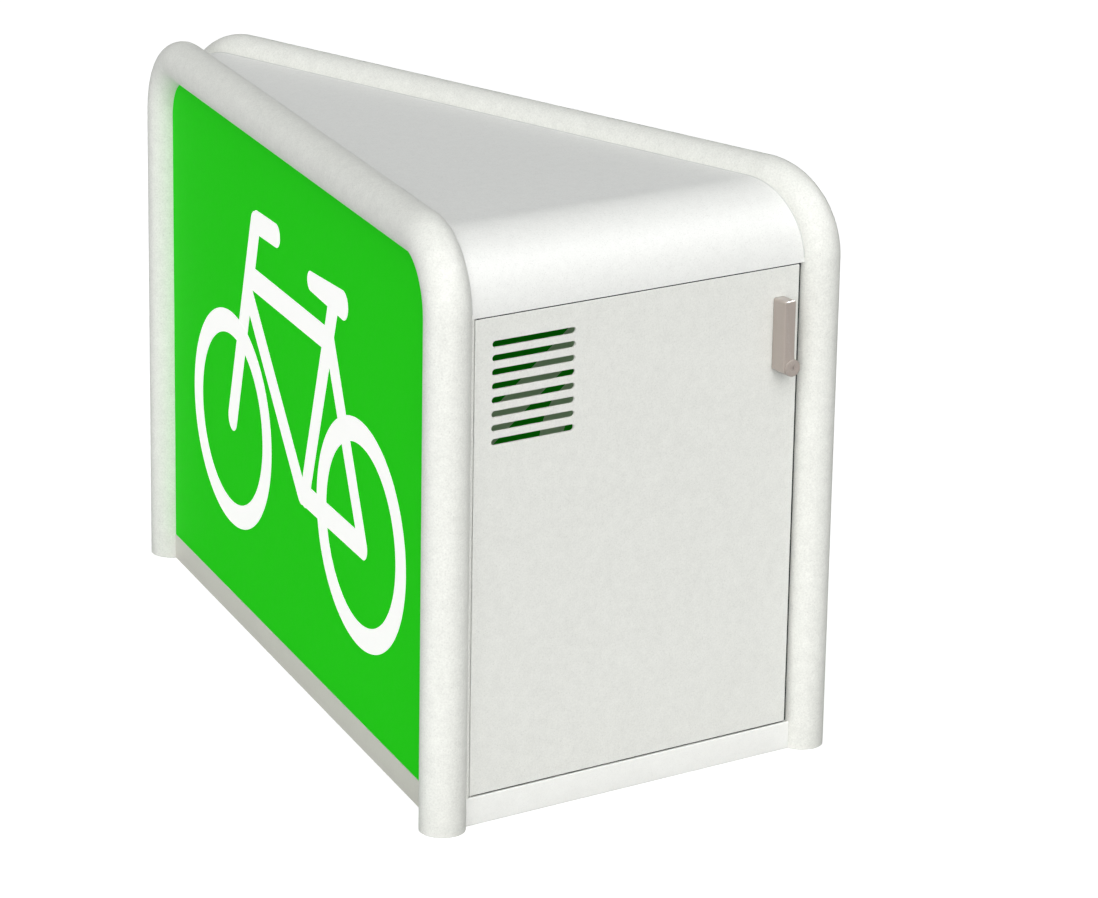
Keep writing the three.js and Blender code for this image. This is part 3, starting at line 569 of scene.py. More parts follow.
def make_powder_group() -> None:
    """Powder coat: grain, sparse flecks and a wide mottle change colour, gloss and height."""
    g, src, out = start_group("powder coat", "Base Fleck", "Grain Contrast Gloss",
                              "Roughness Height")
    mottle_scale, cell_scale, mottle_share, fleck_share = 0.16, 0.9, 0.5, 0.5
    gloss_swing, fleck_height = 0.25, 0.3
    grain = g.noise(src["Vector"], src["Grain"], 3.0, 0.6)
    mottle = g.noise(src["Vector"], g.math("MULTIPLY", src["Grain"], mottle_scale), 3.0, 0.6)
    distance, lot = g.cells(src["Vector"], g.math("MULTIPLY", src["Grain"], cell_scale))
    fleck = g.math("MULTIPLY", g.remap(distance, 0.15, 0.4, 1, 0), g.remap(lot, 0.6, 0.75, 0, 1))
    swing = g.math("ADD", g.swing(grain, 1.0), g.swing(mottle, mottle_share))
    tone = g.math("MULTIPLY_ADD", swing, src["Contrast"], 1.0)
    flecked = g.mix(g.math("MULTIPLY", fleck, fleck_share), src["Base"], src["Fleck"])
    g.fill(out, {"Color": g.mix(1.0, flecked, tone, "MULTIPLY"),
                 "Roughness": g.math("MULTIPLY_ADD", swing, gloss_swing, src["Gloss"]),
                 "Height": g.math("MULTIPLY_ADD", fleck, fleck_height, grain)})


def make_metal_group() -> None:
    """Bare metal: fine lines drawn along one axis over a faint pattern of crystals."""
    g, src, out = start_group("drawn metal", "Base", "Crystal Gloss", "Roughness Height",
                              "Vector Stretch")
    crystal_scale, line_share, gloss_swing = 110.0, 0.35, -0.3
    pulled = g.add("VectorMath", {0: src["Vector"], 1: src["Stretch"]}, operation="MULTIPLY")
    lines = g.noise(pulled.outputs[0], 1.0, 4.0, 0.7)
    _, lot = g.cells(src["Vector"], crystal_scale)
    swing = g.math("ADD", g.swing(lines, line_share), g.swing(lot, src["Crystal"]))
    g.fill(out, {"Color": g.mix(1.0, src["Base"], g.math("ADD", swing, 1.0), "MULTIPLY"),
                 "Roughness": g.math("MULTIPLY_ADD", swing, gloss_swing, src["Gloss"]),
                 "Height": lines})


def make_dust_group() -> None:
    """Road dust: a thin film that is thickest at the ground and broken up by noise."""
    g, src, out = start_group("road dust", "Color Dust", "Reach Amount")
    patch_scale, fade_power = 14.0, 2.5
    height = g.add("SeparateXYZ", {0: src["Vector"]}).outputs[2]
    low = g.math("SUBTRACT", 1.0, g.math("DIVIDE", height, src["Reach"]))
    fade = g.math("POWER", g.add("Clamp", {0: low}).outputs[0], fade_power)
    patch = g.remap(g.noise(src["Vector"], patch_scale, 5.0, 0.65), 0.3, 0.7, 0.35, 1)
    mask = g.math("MULTIPLY", g.math("MULTIPLY", fade, patch), src["Amount"])
    g.fill(out, {"Color": g.mix(mask, src["Color"], src["Dust"])})


def make_wear_group() -> None:
    """Edge wear: the attribute edge, broken up by noise, shows another colour along folds."""
    g, src, out = start_group("edge wear", "Color Worn", "Amount")
    chip_scale = 260.0
    fold = g.add("Attribute", attribute_name="edge").outputs["Fac"]
    chips = g.remap(g.noise(src["Vector"], chip_scale, 4.0, 0.7), 0.42, 0.66, 0, 1)
    mask = g.math("MULTIPLY", g.math("MULTIPLY", fold, chips), src["Amount"])
    g.fill(out, {"Color": g.mix(mask, src["Color"], src["Worn"])})


# ---- Finishes ----

DUST = (0.40, 0.38, 0.33)


def start_material(name: str) -> tuple[bpy.types.Material, Graph, Node]:
    """Makes a material with a Principled shader; gives the material, its graph and the shader."""
    material = bpy.data.materials.new(name)
    material.use_nodes = True
    material.node_tree.nodes.clear()
    graph = Graph(material.node_tree)
    return material, graph, graph.add("BsdfPrincipled")


@dataclass(frozen=True, kw_only=True)
class Look:
    """What all finishes share: slot, base colour, gloss, relief, and dust near the ground."""

    slot: str = field(kw_only=False)
    base: Triple = field(kw_only=False)
    gloss: float = 0.55
    bump: float = 0.12
    relief: float = 0.8 * MM
    dust: float = 0.10
    dust_reach: float = 0.45

    def effect(self, g: Graph, shader: Node, vector: Socket) -> tuple[Items, Socket]:
        """Adds the finish's own nodes.

        Args:
            g: The material's graph.
            shader: The Principled shader, for the finish's own constants.
            vector: Object coordinates.

        Returns:
            Outputs of the finish's effect, and the colour that lies under the dust.
        """
        raise NotImplementedError

    def material(self, name: str) -> bpy.types.Material:
        """The finish as a new material: the effect's colour under dust, its gloss and relief."""
        material, g, shader = start_material(name)
        vector = g.add("TexCoord").outputs["Object"]
        effect, colour = self.effect(g, shader, vector)
        dusty = g.group("road dust", {"Vector": vector, "Color": colour, "Dust": DUST,
                                      "Reach": self.dust_reach, "Amount": self.dust})
        relief = g.add("Bump", {"Strength": self.bump, "Distance": self.relief,
                                "Height": effect["Height"]})
        g.fill(shader, {"Base Color": dusty["Color"], "Roughness": effect["Roughness"],
                        "Normal": relief.outputs[0]})
        g.add("OutputMaterial", {"Surface": shader.outputs[0]})
        return material


@dataclass(frozen=True, kw_only=True)
class Coat(Look):
    """Powder coat or another grained paint, with wear along folds."""

    fleck: Triple = field(kw_only=False)
    worn: Triple = field(kw_only=False)
    grain: float = 330.0
    contrast: float = 0.12
    wear: float = 0.25
    sheen: float = 0.5
    # glow is painted light: the paint's own colour is sent out as emission, so the surface looks
    # brighter than the lamps light it
    glow: float = 0.0
    lacquer: float = 0.0
    lacquer_gloss: float = 0.16

    def effect(self, g: Graph, shader: Node, vector: Socket) -> tuple[Items, Socket]:
        """Adds the paint and its wear; arguments and results as in Look."""
        paint = g.group("powder coat", {
            "Vector": vector, "Base": self.base, "Fleck": self.fleck, "Grain": self.grain,
            "Contrast": self.contrast, "Gloss": self.gloss})
        worn = g.group("edge wear", {"Vector": vector, "Color": paint["Color"],
                                     "Worn": self.worn, "Amount": self.wear})
        g.fill(shader, {"Specular IOR Level": self.sheen, "Coat Weight": self.lacquer,
                        "Coat Roughness": self.lacquer_gloss})
        # Painted glow: emission in the paint's own colour, standing in for light the lamps don't
        # give
        if self.glow:
            g.fill(shader, {"Emission Color": paint["Color"], "Emission Strength": self.glow})
        return paint, worn["Color"]


@dataclass(frozen=True, kw_only=True)
class Metal(Look):
    """Zinc or bright steel."""

    gloss: float = 0.36
    bump: float = 0.06
    relief: float = 0.4 * MM
    dust: float = 0.15
    dust_reach: float = 0.3
    stretch: Triple = (900.0, 900.0, 40.0)
    crystal: float = 0.25
    metallic: float = 0.55

    def effect(self, g: Graph, shader: Node, vector: Socket) -> tuple[Items, Socket]:
        """Adds the drawn metal; arguments and results as in Look."""
        metal = g.group("drawn metal", {
            "Vector": vector, "Base": self.base, "Stretch": self.stretch,
            "Crystal": self.crystal, "Gloss": self.gloss})
        g.fill(shader, {"Metallic": self.metallic})
        return metal, metal["Color"]


class Finish(Enum):
    """Every finish on the locker; after the slot come the base, fleck and worn colours."""

    TUBE = Coat("tube_paint", (0.765, 0.77, 0.73), (0.60, 0.60, 0.57), (0.62, 0.62, 0.60),
                grain=240.0, contrast=0.36)
    ROOF = Coat("roof_paint", (0.79, 0.795, 0.775), (0.60, 0.61, 0.59), (0.62, 0.62, 0.60),
                grain=280.0, contrast=0.19)
    DOOR = Coat("door_paint", (0.75, 0.755, 0.72), (0.60, 0.61, 0.57), (0.60, 0.60, 0.58),
                grain=260.0, contrast=0.26)
    THRESHOLD = Coat("threshold_paint", (0.85, 0.855, 0.83), (0.74, 0.74, 0.72),
                     (0.68, 0.68, 0.66))
    RAIL = Coat("rail_paint", (0.67, 0.66, 0.60), (0.58, 0.57, 0.52), (0.56, 0.55, 0.51))
    # Green sheet: its own green plus a small painted glow, so it reads brighter than the lamps
    # light it
    SHEET = Coat("green_sheet", (0.012, 0.635, 0.004), (0.010, 0.60, 0.004), (0.1, 0.6, 0.09),
                 contrast=0.03, gloss=0.6, bump=0.02, dust=0.0, wear=0.2, sheen=0.06, glow=0.05)
    # Inner face of the green sheet: painted shade, a darker copy of the same green for the dim
    # inside of the cabin, with a painted glow in place of light inside
    SHEET_BACK_PAINTED_SHADE = Coat("green_sheet", (0.003, 0.36, 0.002), (0.003, 0.33, 0.002),
                      (0.1, 0.5, 0.09), contrast=0.04, gloss=0.6, bump=0.03, sheen=0.06,
                      glow=0.08)
    # White sign film: its own white plus a strong painted glow, so it shows near pure white
    SIGN = Coat("green_sheet", (0.875, 0.87, 0.855), (0.84, 0.835, 0.82), (0.8, 0.8, 0.78),
                contrast=0.02, gloss=0.5, bump=0.01, dust=0.0, wear=0.0, sheen=0.2, glow=0.34)
    # Sign film on the inner face: painted shade, the white print darkened and tinted green as if
    # lit by green light inside the cabin, plus a painted glow
    SIGN_BACK_PAINTED_SHADE = Coat("green_sheet", (0.45, 0.58, 0.40), (0.41, 0.54, 0.37), (0.6, 0.6, 0.58),
                     contrast=0.04, bump=0.01, wear=0.0, sheen=0.2, glow=0.10)
    HANDLE = Coat("handle_paint", (0.385, 0.332, 0.297), (0.33, 0.28, 0.255),
                  (0.50, 0.46, 0.43), grain=900.0, contrast=0.10, gloss=0.36, bump=0.04,
                  dust=0.0, lacquer=0.6)
    PLUG = Coat("steel", (0.36, 0.31, 0.28), (0.30, 0.26, 0.24), (0.55, 0.52, 0.50),
                grain=900.0, contrast=0.08, gloss=0.3, bump=0.03, dust=0.0, wear=0.5)
    NYLON = Coat("nylon", (0.70, 0.68, 0.60), (0.66, 0.64, 0.57), (0.8, 0.78, 0.7),
                 grain=500.0, contrast=0.05, gloss=0.45, bump=0.03, dust=0.0)
    RUBBER = Coat("rubber", (0.030, 0.031, 0.033), (0.022, 0.022, 0.024), (0.06, 0.06, 0.06),
                  grain=700.0, contrast=0.2, gloss=0.75, bump=0.2, dust=0.3, sheen=0.3)
    PLASTIC = Coat("black_plastic", (0.040, 0.042, 0.044), (0.03, 0.03, 0.03), (0.1, 0.1, 0.1),
                   grain=600.0, contrast=0.15, gloss=0.6, bump=0.15, dust=0.3, sheen=0.4)
    SEALANT = Coat("tube_paint", (0.60, 0.61, 0.59), (0.54, 0.55, 0.53), (0.6, 0.6, 0.58),
                   grain=500.0, contrast=0.08, gloss=0.5, bump=0.08, wear=0.0)
    ZINC = Metal("zinc", (0.60, 0.61, 0.62))
    STEEL = Metal("steel", (0.55, 0.56, 0.58), stretch=(1500.0, 1500.0, 1500.0), crystal=0.05,
                  metallic=0.8, gloss=0.28, dust=0.05)

    def made(self) -> bpy.types.Material:
        """The finish's material, built when it is first used."""
        name = self.name.lower()
        return bpy.data.materials.get(name) or self.value.material(name)


# ---- Pieces ----


def stand(name: str, data: bpy.types.ID) -> bpy.types.Object:
    """Puts a new object with that data into the scene."""
    made = bpy.data.objects.new(name, data)
    bpy.context.scene.collection.objects.link(made)
    return made


def show(name: str, shape: Skin | Mesh, finish: Finish, body: str, *nodes: str,
         more: tuple[Finish, ...] = ()) -> None:
    """Makes a finished piece and hangs it on its body.

    Args:
        name: Name of the piece.
        shape: Its surface or its mesh, in world coordinates.
        finish: Finish of its first material slot.
        body: CAD body that it moves with.
        nodes: CAD nodes that it stands for.
        more: Finishes of further material slots.
    """
    piece = stand(name, shape.mesh(name) if isinstance(shape, Skin) else shape)
    for each in (finish, *more):
        piece.data.materials.append(each.made())
    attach(piece, body)
    if nodes:
        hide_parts(*nodes)
    LOG.info("%s: %d faces on %s", name, len(piece.data.polygons), body)


def soften(finish: Finish, body: str, *nodes: str, width: float = 0.5 * MM) -> None:
    """Stands finished copies with softened edges in the place of CAD nodes.

    A copy's loose triangles are joined, flat neighbours are merged, and each edge with a strong
    fold is bevelled. Gently curved faces and the bevels shade smooth, the others flat.

    Args:
        finish: Finish of the copies.
        body: CAD body that they move with.
        nodes: The CAD nodes.
        width: Width of the bevel.
    """
    for node in nodes:
        work = bmesh.new()
        work.from_mesh(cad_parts[node].data)
        bmesh.ops.remove_doubles(work, verts=work.verts, dist=WELD)
        bmesh.ops.dissolve_limit(work, angle_limit=FLAT_ANGLE, verts=work.verts, edges=work.edges)
        folds = {edge: edge.calc_face_angle(0.0) for edge in work.edges}
        for face in work.faces:
            face.smooth = any(CURVE_ANGLE < folds[edge] < SMOOTH_ANGLE for edge in face.edges)
        sharp = [edge for edge, fold in folds.items() if fold > FOLD_ANGLE]
        made = bmesh.ops.bevel(work, geom=sharp, offset=width, segments=2, profile=0.5,
                               affect="EDGES", clamp_overlap=True)
        for face in made["faces"]:
            face.smooth = True
        mesh = bpy.data.meshes.new(f"{node}_soft")
        work.to_mesh(mesh)
        work.free()
        mark_edges(mesh)
        show(f"{node}_soft", mesh, finish, body, node)


class Facing(Enum):
    """Which way a small round fastener looks."""

    UP = ((1, 0, 0), (0, 1, 0), (0, 0, 1))
    DOWN = ((1, 0, 0), (0, -1, 0), (0, 0, -1))
    BACK = ((-1, 0, 0), (0, 0, 1), (0, 1, 0))

    def turned(self, rows: Array, centre: Triple) -> Array:
        """Carries (u, v, h) points to this direction and to a place."""
        return rows @ np.array(self.value, float) + np.array(centre)


def screw_heads(facing: Facing, radius: float, seats: Iterable[Triple]) -> Skin:
    """Low domed screw heads of one radius with round sockets, on the centres of their seats."""
    top, socket, rim = 0.55 * radius, 0.45 * radius, 0.35
    dome = [(socket + (radius - socket) * cos, top * (rim + (1 - rim) * sin))
            for cos, sin in unit(np.linspace(0, QUARTER, 5))]
    profile = [(0, 0), (radius, 0), *dome, (0.9 * socket, 0.5 * top), (0, 0.45 * top)]
    skin = Skin()
    for seat in seats:
        skin.grid(facing.turned(spin_rows(profile, 20), seat))
    return skin


@dataclass
class Hoops:
    """The two bent tubes that frame the side walls, with their foot plugs."""

    plan: Plan = PLAN
    around: int = 72
    bend_steps: int = 20

    def stations(self) -> Array:
        """Tube axis in its plane as rows of way, height and the in-plane normal (way, height)."""
        p = self.plan
        cos, sin = unit(np.linspace(0, QUARTER, self.bend_steps + 1)).T
        start = p.axis_height - p.bend
        leg = stack(0, np.linspace(p.wall / 2, start, 6)[:-1], 1, 0)
        bend = stack(p.bend * (1 - cos), start + p.bend * sin, cos, -sin)
        top = stack(np.linspace(p.bend, p.length - p.bend, 6)[1:-1], p.axis_height, 0, -1)
        front = np.vstack([leg, bend])
        rear = front[::-1] * (-1, 1, -1, 1) + (p.length, 0, 0, 0)
        return np.vstack([front, top, rear])

    def surface(self, side: int) -> Array:
        """Closed tube with a wall: outer circles along the axis, a half-round lip over the wall
        at the foot, inner circles back, and the other lip. A point is the axis point plus the
        radius times the cosine of the turn outward and the sine along the in-plane normal."""
        p, axis, half = self.plan, self.stations(), self.plan.wall / 2
        cos, sin = unit(np.linspace(0, math.pi, 7)[1:-1]).T
        rows, radii = [], []
        for line, radius, order in ((axis, p.tube, 1), (axis[::-1], p.tube - p.wall, -1)):
            lip = np.repeat(line[-1:], len(sin), 0)
            lip[:, 1] -= half * sin
            rows += [line, lip]
            radii += [np.full(len(line), radius), (p.tube - half + half * cos)[::order]]
        rows = np.vstack(rows)
        ring = np.concatenate(radii)[:, None, None] * round_trip(self.around)
        outward, inward = ring[..., 0], ring[..., 1]
        way, up = rows[:, :1] + inward * rows[:, 2:3], rows[:, 1:2] + inward * rows[:, 3:]
        return p.beside(side)(outward, way, up)

    def build(self) -> None:
        """Makes both tubes and their plugs."""
        for name, side in SIDES.items():
            skin = Skin().grid(self.surface(side), rows=True)
            show(f"{name}_tube", skin, Finish.TUBE, "frame", f"{name}_hoop")
            soften(Finish.PLASTIC, "frame", f"front_{name}_foot_plug", f"rear_{name}_foot_plug")


@dataclass
class SideWalls:
    """Green sheets with the bicycle sign, their inner flanges and the base rails."""

    plan: Plan = PLAN
    face_lead: float = 5 * MM
    sheet: float = 2 * MM
    sheet_round: float = 0.6 * MM
    foot_round: float = 2 * MM
    edge_gap: float = 0.4 * MM
    rail_height: float = 62 * MM
    rail_depth: float = 40 * MM
    rail_wall: float = 3 * MM
    rail_lead: float = 6 * MM
    film: float = 0.2 * MM
    film_step: float = 0.02 * MM
    right_shift: float = 12 * MM
    right_bar: tuple[Pair, Pair] = ((5 * MM, 20 * MM), (20 * MM, 0.0))
    stroke: float = 28.4 * MM
    wheels: tuple[Pair, Pair] = ((0.5162, 0.5004), (1.4246, 0.5005))
    wheel_size: Pair = (0.2932, 0.2630)
    wheel_stroke: Pair = (0.0647, 0.0563)

    def panel(self, side: int) -> Skin:
        """The green sheet inside a hoop, above the rail; its inner face has its own finish."""
        p = self.plan
        edge = p.tube + self.edge_gap
        radii = (self.foot_round, self.foot_round, p.bend - edge, p.bend - edge)
        box = Box2(edge, p.length - edge, self.rail_height + p.gap, p.axis_height - edge, radii, 16)
        back = self.face_lead - self.sheet
        rows = plate_rows(box.outline, self.sheet_round, back, self.face_lead)
        surface = p.beside(side)(rows[..., 2], rows[..., 0], rows[..., 1])
        # Slot 1, the inner face, takes the darker painted-shade green; slot 0 the outer face and
        # edges
        return Skin().grid(surface[:3], slot=1).grid(surface[2:])

    def bars(self, side: int) -> list[tuple[Pair, Pair, float, float]]:
        """The sign's bars: two ends as way and height, and the half width at each end."""
        s, crank, hub = self.stroke, (0.9162, 0.4754), (0.4990, 0.4762)
        down = ((1.2960, 0.8415), crank)
        if side > 0:
            down = tuple((way + by, up + rise)
                         for (way, up), (by, rise) in zip(down, self.right_bar))
        return [
            ((1.2477, 1.0213), (1.4209, 0.5045), s + 4 * MM, s + 4 * MM),
            ((1.2350, 1.0305), (1.0976, 1.0342), s, s),
            ((1.2588, 0.8874), (0.7300, 0.8868), s, s),
            (*down, s + 2 * MM, s + 2 * MM),
            ((0.6948, 0.9918), (0.8935, 0.4730), s + 3 * MM, s),
            ((0.8542, 0.9915), (0.6362, 0.9943), 23 * MM, 34 * MM),
            ((0.7231, 0.8874), hub, s + 3 * MM, s),
            (crank, hub, s, s),
        ]

    def sign(self, side: int, outer: bool) -> Skin:
        """The bicycle sign as a thin film on one face of a sheet.

        Both sheets carry the same picture as seen from outside, so on the right sheet the way
        along it is counted from the rear. Each bar has half a circle about each end, turned to
        the bar, and each wheel is an ellipse ring. Every stroke lies a hair higher than the one
        before, so that two strokes never share a face.

        Args:
            side: Minus one for the left sheet, one for the right.
            outer: Whether the film lies on the sheet's outer face.

        Returns:
            The film.
        """
        beside, skin, bars = self.plan.beside(side), Skin(), self.bars(side)
        seat, out = (self.face_lead, 1) if outer else (self.face_lead - self.sheet, -1)
        low = seat - out * self.film / 2

        def place(rows: Array) -> Array:
            """World points of (way, height, outward)."""
            way = rows[..., 0]
            if side > 0:
                way = self.plan.length - way + self.right_shift
            return beside(rows[..., 2], way, rows[..., 1])

        def face(rank: int) -> float:
            """Where a stroke's face lies."""
            return seat + out * (self.film + rank * self.film_step)

        for rank, (first, second, r0, r1) in enumerate(bars):
            turn = math.atan2(second[1] - first[1], second[0] - first[0]) + QUARTER
            line = np.vstack([arc(first, r0, turn, turn + math.pi, 14),
                              arc(second, r1, turn - math.pi, turn, 14)])
            skin.grid(place(capped(levels([(line, low), (line, face(rank))]))))
        for rank, centre in enumerate(self.wheels, len(bars) + 1):
            size = np.array(self.wheel_size)
            inside, high = size - self.wheel_stroke, face(rank)
            rings = [(inside, low), (size, low), (size, high), (inside, high)]
            rows = levels((centre + round_trip(96) * each, height) for each, height in rings)
            skin.grid(place(rows), rows=True)
        return skin

    def rail(self, side: int) -> Skin:
        """Hollow rail whose lines run from leg to leg, each cut where it meets the leg's round."""
        p, place, wall = self.plan, self.plan.beside(side), self.rail_wall
        back = self.rail_lead - self.rail_depth
        box = Box2(back, self.rail_lead, 0, self.rail_height, (wall,) * 4)
        return hollow_bar(box, wall, lambda u: (p.leg_reach(u), p.length - p.leg_reach(u)),
                          lambda u, v, way: place(u, way, v))

    def build(self) -> None:
        """Makes both walls."""
        for name, side in SIDES.items():
            # Inner faces get painted shade: a darker green, and a darker green-tinted copy of the
            # white sign
            show(f"{name}_green_sheet", self.panel(side), Finish.SHEET, "frame",
                 f"{name}_side_panel", more=(Finish.SHEET_BACK_PAINTED_SHADE,))
            show(f"{name}_sign", self.sign(side, True), Finish.SIGN, "frame")
            show(f"{name}_sign_inside", self.sign(side, False), Finish.SIGN_BACK_PAINTED_SHADE, "frame")
            show(f"{name}_rail", self.rail(side), Finish.RAIL, "frame", f"{name}_base_rail")
            soften(Finish.TUBE, "frame", f"{name}_panel_flange")


@dataclass
class Roof:
    """Bent roof sheet with its sealant, angles and bows."""

    plan: Plan = PLAN
    sheet: float = 2 * MM
    radius: float = 163 * MM
    rise: float = 10.8 * MM
    tip: float = 8 * MM
    sealant: float = 2.2 * MM
    bend_steps: int = 24

    def profile(self, radius: float) -> Array:
        """Side view of one face as Y and Z: a front arc, a flat run and a rear arc.

        The rear arc ends where the sheet is only as wide as its tip.
        """
        p = self.plan
        bottom = p.axis_height + self.rise - self.radius
        front = p.shift - p.door_lead + self.radius
        rear = p.shift + p.depth + p.door_lead - self.radius
        end = p.shift + (p.half_width(p.shift) - self.tip / 2) / math.tan(p.angle)
        rear_arc = arc((rear, bottom), radius, QUARTER, 0, self.bend_steps * 3)
        return np.vstack([
            arc((front, bottom), radius, 2 * QUARTER, QUARTER, self.bend_steps),
            stack(np.linspace(front, rear, 7)[1:-1], bottom + radius),
            rear_arc[rear_arc[:, 0] <= end],
            [end, bottom + math.sqrt(radius**2 - (end - rear) ** 2)],
        ])

    def skin(self) -> Skin:
        """The sheet: each point of the side view runs across from hoop to hoop."""
        faces, skin = [], Skin()
        for radius in (self.radius, self.radius - self.sheet):
            line = self.profile(radius)
            x = np.outer(self.plan.half_width(line[:, 0]), np.linspace(-1, 1, 13))
            faces.append(stack(x, line[:, :1], line[:, 1:]))
            skin.grid(faces[-1], cols=False)
        for row in (0, -1):
            skin.grid(np.stack([face[row] for face in faces]), cols=False)
            skin.grid(np.stack([face[:, row] for face in faces]), cols=False)
        return skin

    def bead(self, side: int) -> Skin:
        """Sealant along the joint with a hoop: a small circle carried along the sheet's edge."""
        line = self.profile(self.radius - self.sheet / 4)[1:]
        normal = left_of(np.gradient(line, axis=0))
        cos, sin = self.sealant * round_trip(10).T
        x = side * (self.plan.half_width(line[:, 0])[:, None] + cos)
        return Skin().grid(capped(np.dstack([x, line[:, None] + sin[:, None] * normal[:, None]])))

    def build(self) -> None:
        """Makes the roof."""
        show("roof_sheet", self.skin(), Finish.ROOF, "frame", "roof_skin")
        for name, side in SIDES.items():
            show(f"{name}_roof_sealant", self.bead(side), Finish.SEALANT, "frame")
            soften(Finish.TUBE, "frame", f"{name}_roof_angle")
        soften(Finish.TUBE, "frame", "front_roof_bow", "middle_roof_bow", "rear_roof_bow")


@dataclass
class Doorway:
    """Threshold, header, jambs, seal, keepers and pivot bushes round the door.

    The threshold's even lines reach as far as the spread to either side of its middle, and the
    bush's lines are two more, counted from the pivot.
    """

    plan: Plan = PLAN
    gear: Gear = GEAR
    height: float = 65 * MM
    depth: float = 50 * MM
    wall: float = 3 * MM
    head_gap: float = 3 * MM
    bush_cell: Pair = (20 * MM, 12 * MM)
    bush_lines: Pair = (-6 * MM, 9 * MM)
    spread: float = 0.3
    bush_gap: float = 3.2 * MM
    bush_sink: float = 5.5 * MM
    keeper_reach: float = 20 * MM
    keeper_screw: float = 3.6 * MM
    strip_gap: float = 0.3 * MM
    gasket_gap: float = 3.2 * MM
    gasket_bite: float = 2 * MM
    gasket_depths: Pair = (10 * MM, 21 * MM)
    gasket_round: Pair = (1.5 * MM, 1 * MM)
    cover_edge: float = -4.9 * MM
    cover_bite: float = 3.8 * MM
    cover_sheet: float = 3 * MM
    cover_round: float = 0.9 * MM

    def threshold(self) -> Skin:
        """Hollow bar across the front whose lines end where they meet the round legs.

        The top wall's quads are taken out round the pivot bush and the lower rod. A ring of
        quads closes it up to the bush's round hole, and a ring of four lines the rod's slot.
        """
        p, g, top = self.plan, self.gear, self.height
        (px, py), (half, depths) = g.pivot, g.window
        slot_x, slot_y = g.rods[1] + half * np.array([-1, 1]), g.front + depths
        reach_x, reach_y = self.bush_cell
        cell = (px - reach_x, px + reach_x, py - reach_y, py + reach_y)
        lines_x = np.sort([*np.linspace(*cell[:2], 5), *np.linspace(-self.spread, self.spread, 7),
                           *slot_x])
        lines_y = np.sort([*cell[2:], *slot_y, *(py + np.array(self.bush_lines))])
        box = Box2(g.front, g.front + self.depth, 0, top, (self.wall,) * 4, along_u=lines_y)

        def ends(y: Array) -> tuple[Array, Array]:
            """World X of both ends at a world Y."""
            reach = p.half - p.leg_reach(y - p.shift)
            return -reach, reach

        skin = hollow_bar(box, self.wall, ends, lambda u, v, way: stack(way, u, v), lines_x)
        hole = Opening(g.pivot, 0.0, g.pin + self.bush_gap, cell)
        border, edge = hole.rings(lines_x, lines_y)
        for u0, u1, v0, v1 in (cell, (*slot_x, *slot_y)):
            skin.drop((u0, v0, top - 2 * self.wall), (u1, v1, top + self.wall))
        slot, low = window_ring(slot_x, *slot_y), top - self.wall
        for rows in (((border, top), (edge(0), top), (edge(0), low), (border, low)),
                     ((slot, top), (slot, low))):
            skin.grid(levels(rows))
        return skin

    def bush(self, facing: Facing, start: float) -> Skin:
        """A flanged bush: its profile turned about the pivot axis, the flange at the far end."""
        g, soft = self.gear, 0.4 * MM
        bore, wall, rim = g.pin + soft, g.pin + 2.9 * MM, g.pin + 5.9 * MM
        seat, long = 5.8 * MM, 7.8 * MM
        profile = [(bore, 0), (wall - soft, 0), (wall, soft), (wall, seat), (rim - soft, seat),
                   (rim, seat + soft), (rim, long - soft), (rim - soft, long),
                   (bore + soft, long), (bore, long - soft)]
        return Skin().grid(facing.turned(spin_rows(profile), (*g.pivot, start)), rows=True)

    def upright(self, box: Box2) -> Skin:
        """A strip along a leg: a rounded section in plan, run up from threshold to header."""
        low, high = self.height + self.strip_gap, self.gear.high + self.head_gap - self.strip_gap
        return Skin().grid(capped(levels((box.outline(), z) for z in (low, high))))

    def build(self) -> None:
        """Makes the doorway."""
        g, face = self.gear, self.gear.front
        show("threshold_bar", self.threshold(), Finish.THRESHOLD, "frame", "front_threshold")
        soften(Finish.TUBE, "frame", "door_header", "left_door_jamb", "right_door_jamb",
               "rear_spine_strip", width=0.4 * MM)
        soften(Finish.RUBBER, "frame", "door_seal")
        # Black rubber gasket beside the lock side; partly real, partly painted shade: its black
        # also stands in for the shade deep in this gap
        leg = self.plan.half - self.plan.tube
        (near, far), (outer, inner) = self.gasket_depths, self.gasket_round
        gasket = Box2(g.door_half + self.gasket_gap, leg + self.gasket_bite, face + near,
                      face + far, (outer, 0, 0, inner))
        show("lock_side_gasket", self.upright(gasket), Finish.RUBBER, "frame")
        cover = Box2(-leg - self.cover_bite, self.cover_edge - g.door_half, face,
                     face + self.cover_sheet, (0, self.cover_round, self.cover_round, 0))
        show("hinge_side_cover", self.upright(cover), Finish.TUBE, "frame")
        ends = (("lower", Facing.UP, self.height, g.rods[1]),
                ("upper", Facing.DOWN, g.high + self.head_gap, g.rods[0]))
        for name, facing, seat, _ in ends:
            start = seat - self.bush_sink * facing.value[2][2]
            show(f"{name}_bush", self.bush(facing, start), Finish.NYLON, "frame",
                 f"{name}_pivot_bush")
        y = face + g.rod_depth + g.rod[1] / 2
        for name, facing, seat, x in reversed(ends):
            seats = [(x + side * self.keeper_reach, y, seat) for side in (-1, 1)]
            show(f"{name}_keeper_screws", screw_heads(facing, self.keeper_screw, seats),
                 Finish.STEEL, "frame")
        soften(Finish.ZINC, "frame", "upper_keeper", "lower_keeper", width=0.3 * MM)


@dataclass
class CabinFloor:
    """Wheel channel, floor ties, bolts and anchor brackets."""

    edge: float = 0.5 * MM

    def build(self) -> None:
        """Makes the floor's pieces."""
        brackets = [f"{end}_{name}_anchor_bracket" for end in ("front", "rear") for name in SIDES]
        for finish, nodes in ((Finish.ZINC, ("wheel_channel", "front_floor_tie", "rear_floor_tie")),
                              (Finish.STEEL, ("front_channel_bolt", "rear_channel_bolt")),
                              (Finish.ZINC, brackets)):
            soften(finish, "frame", *nodes, width=self.edge)


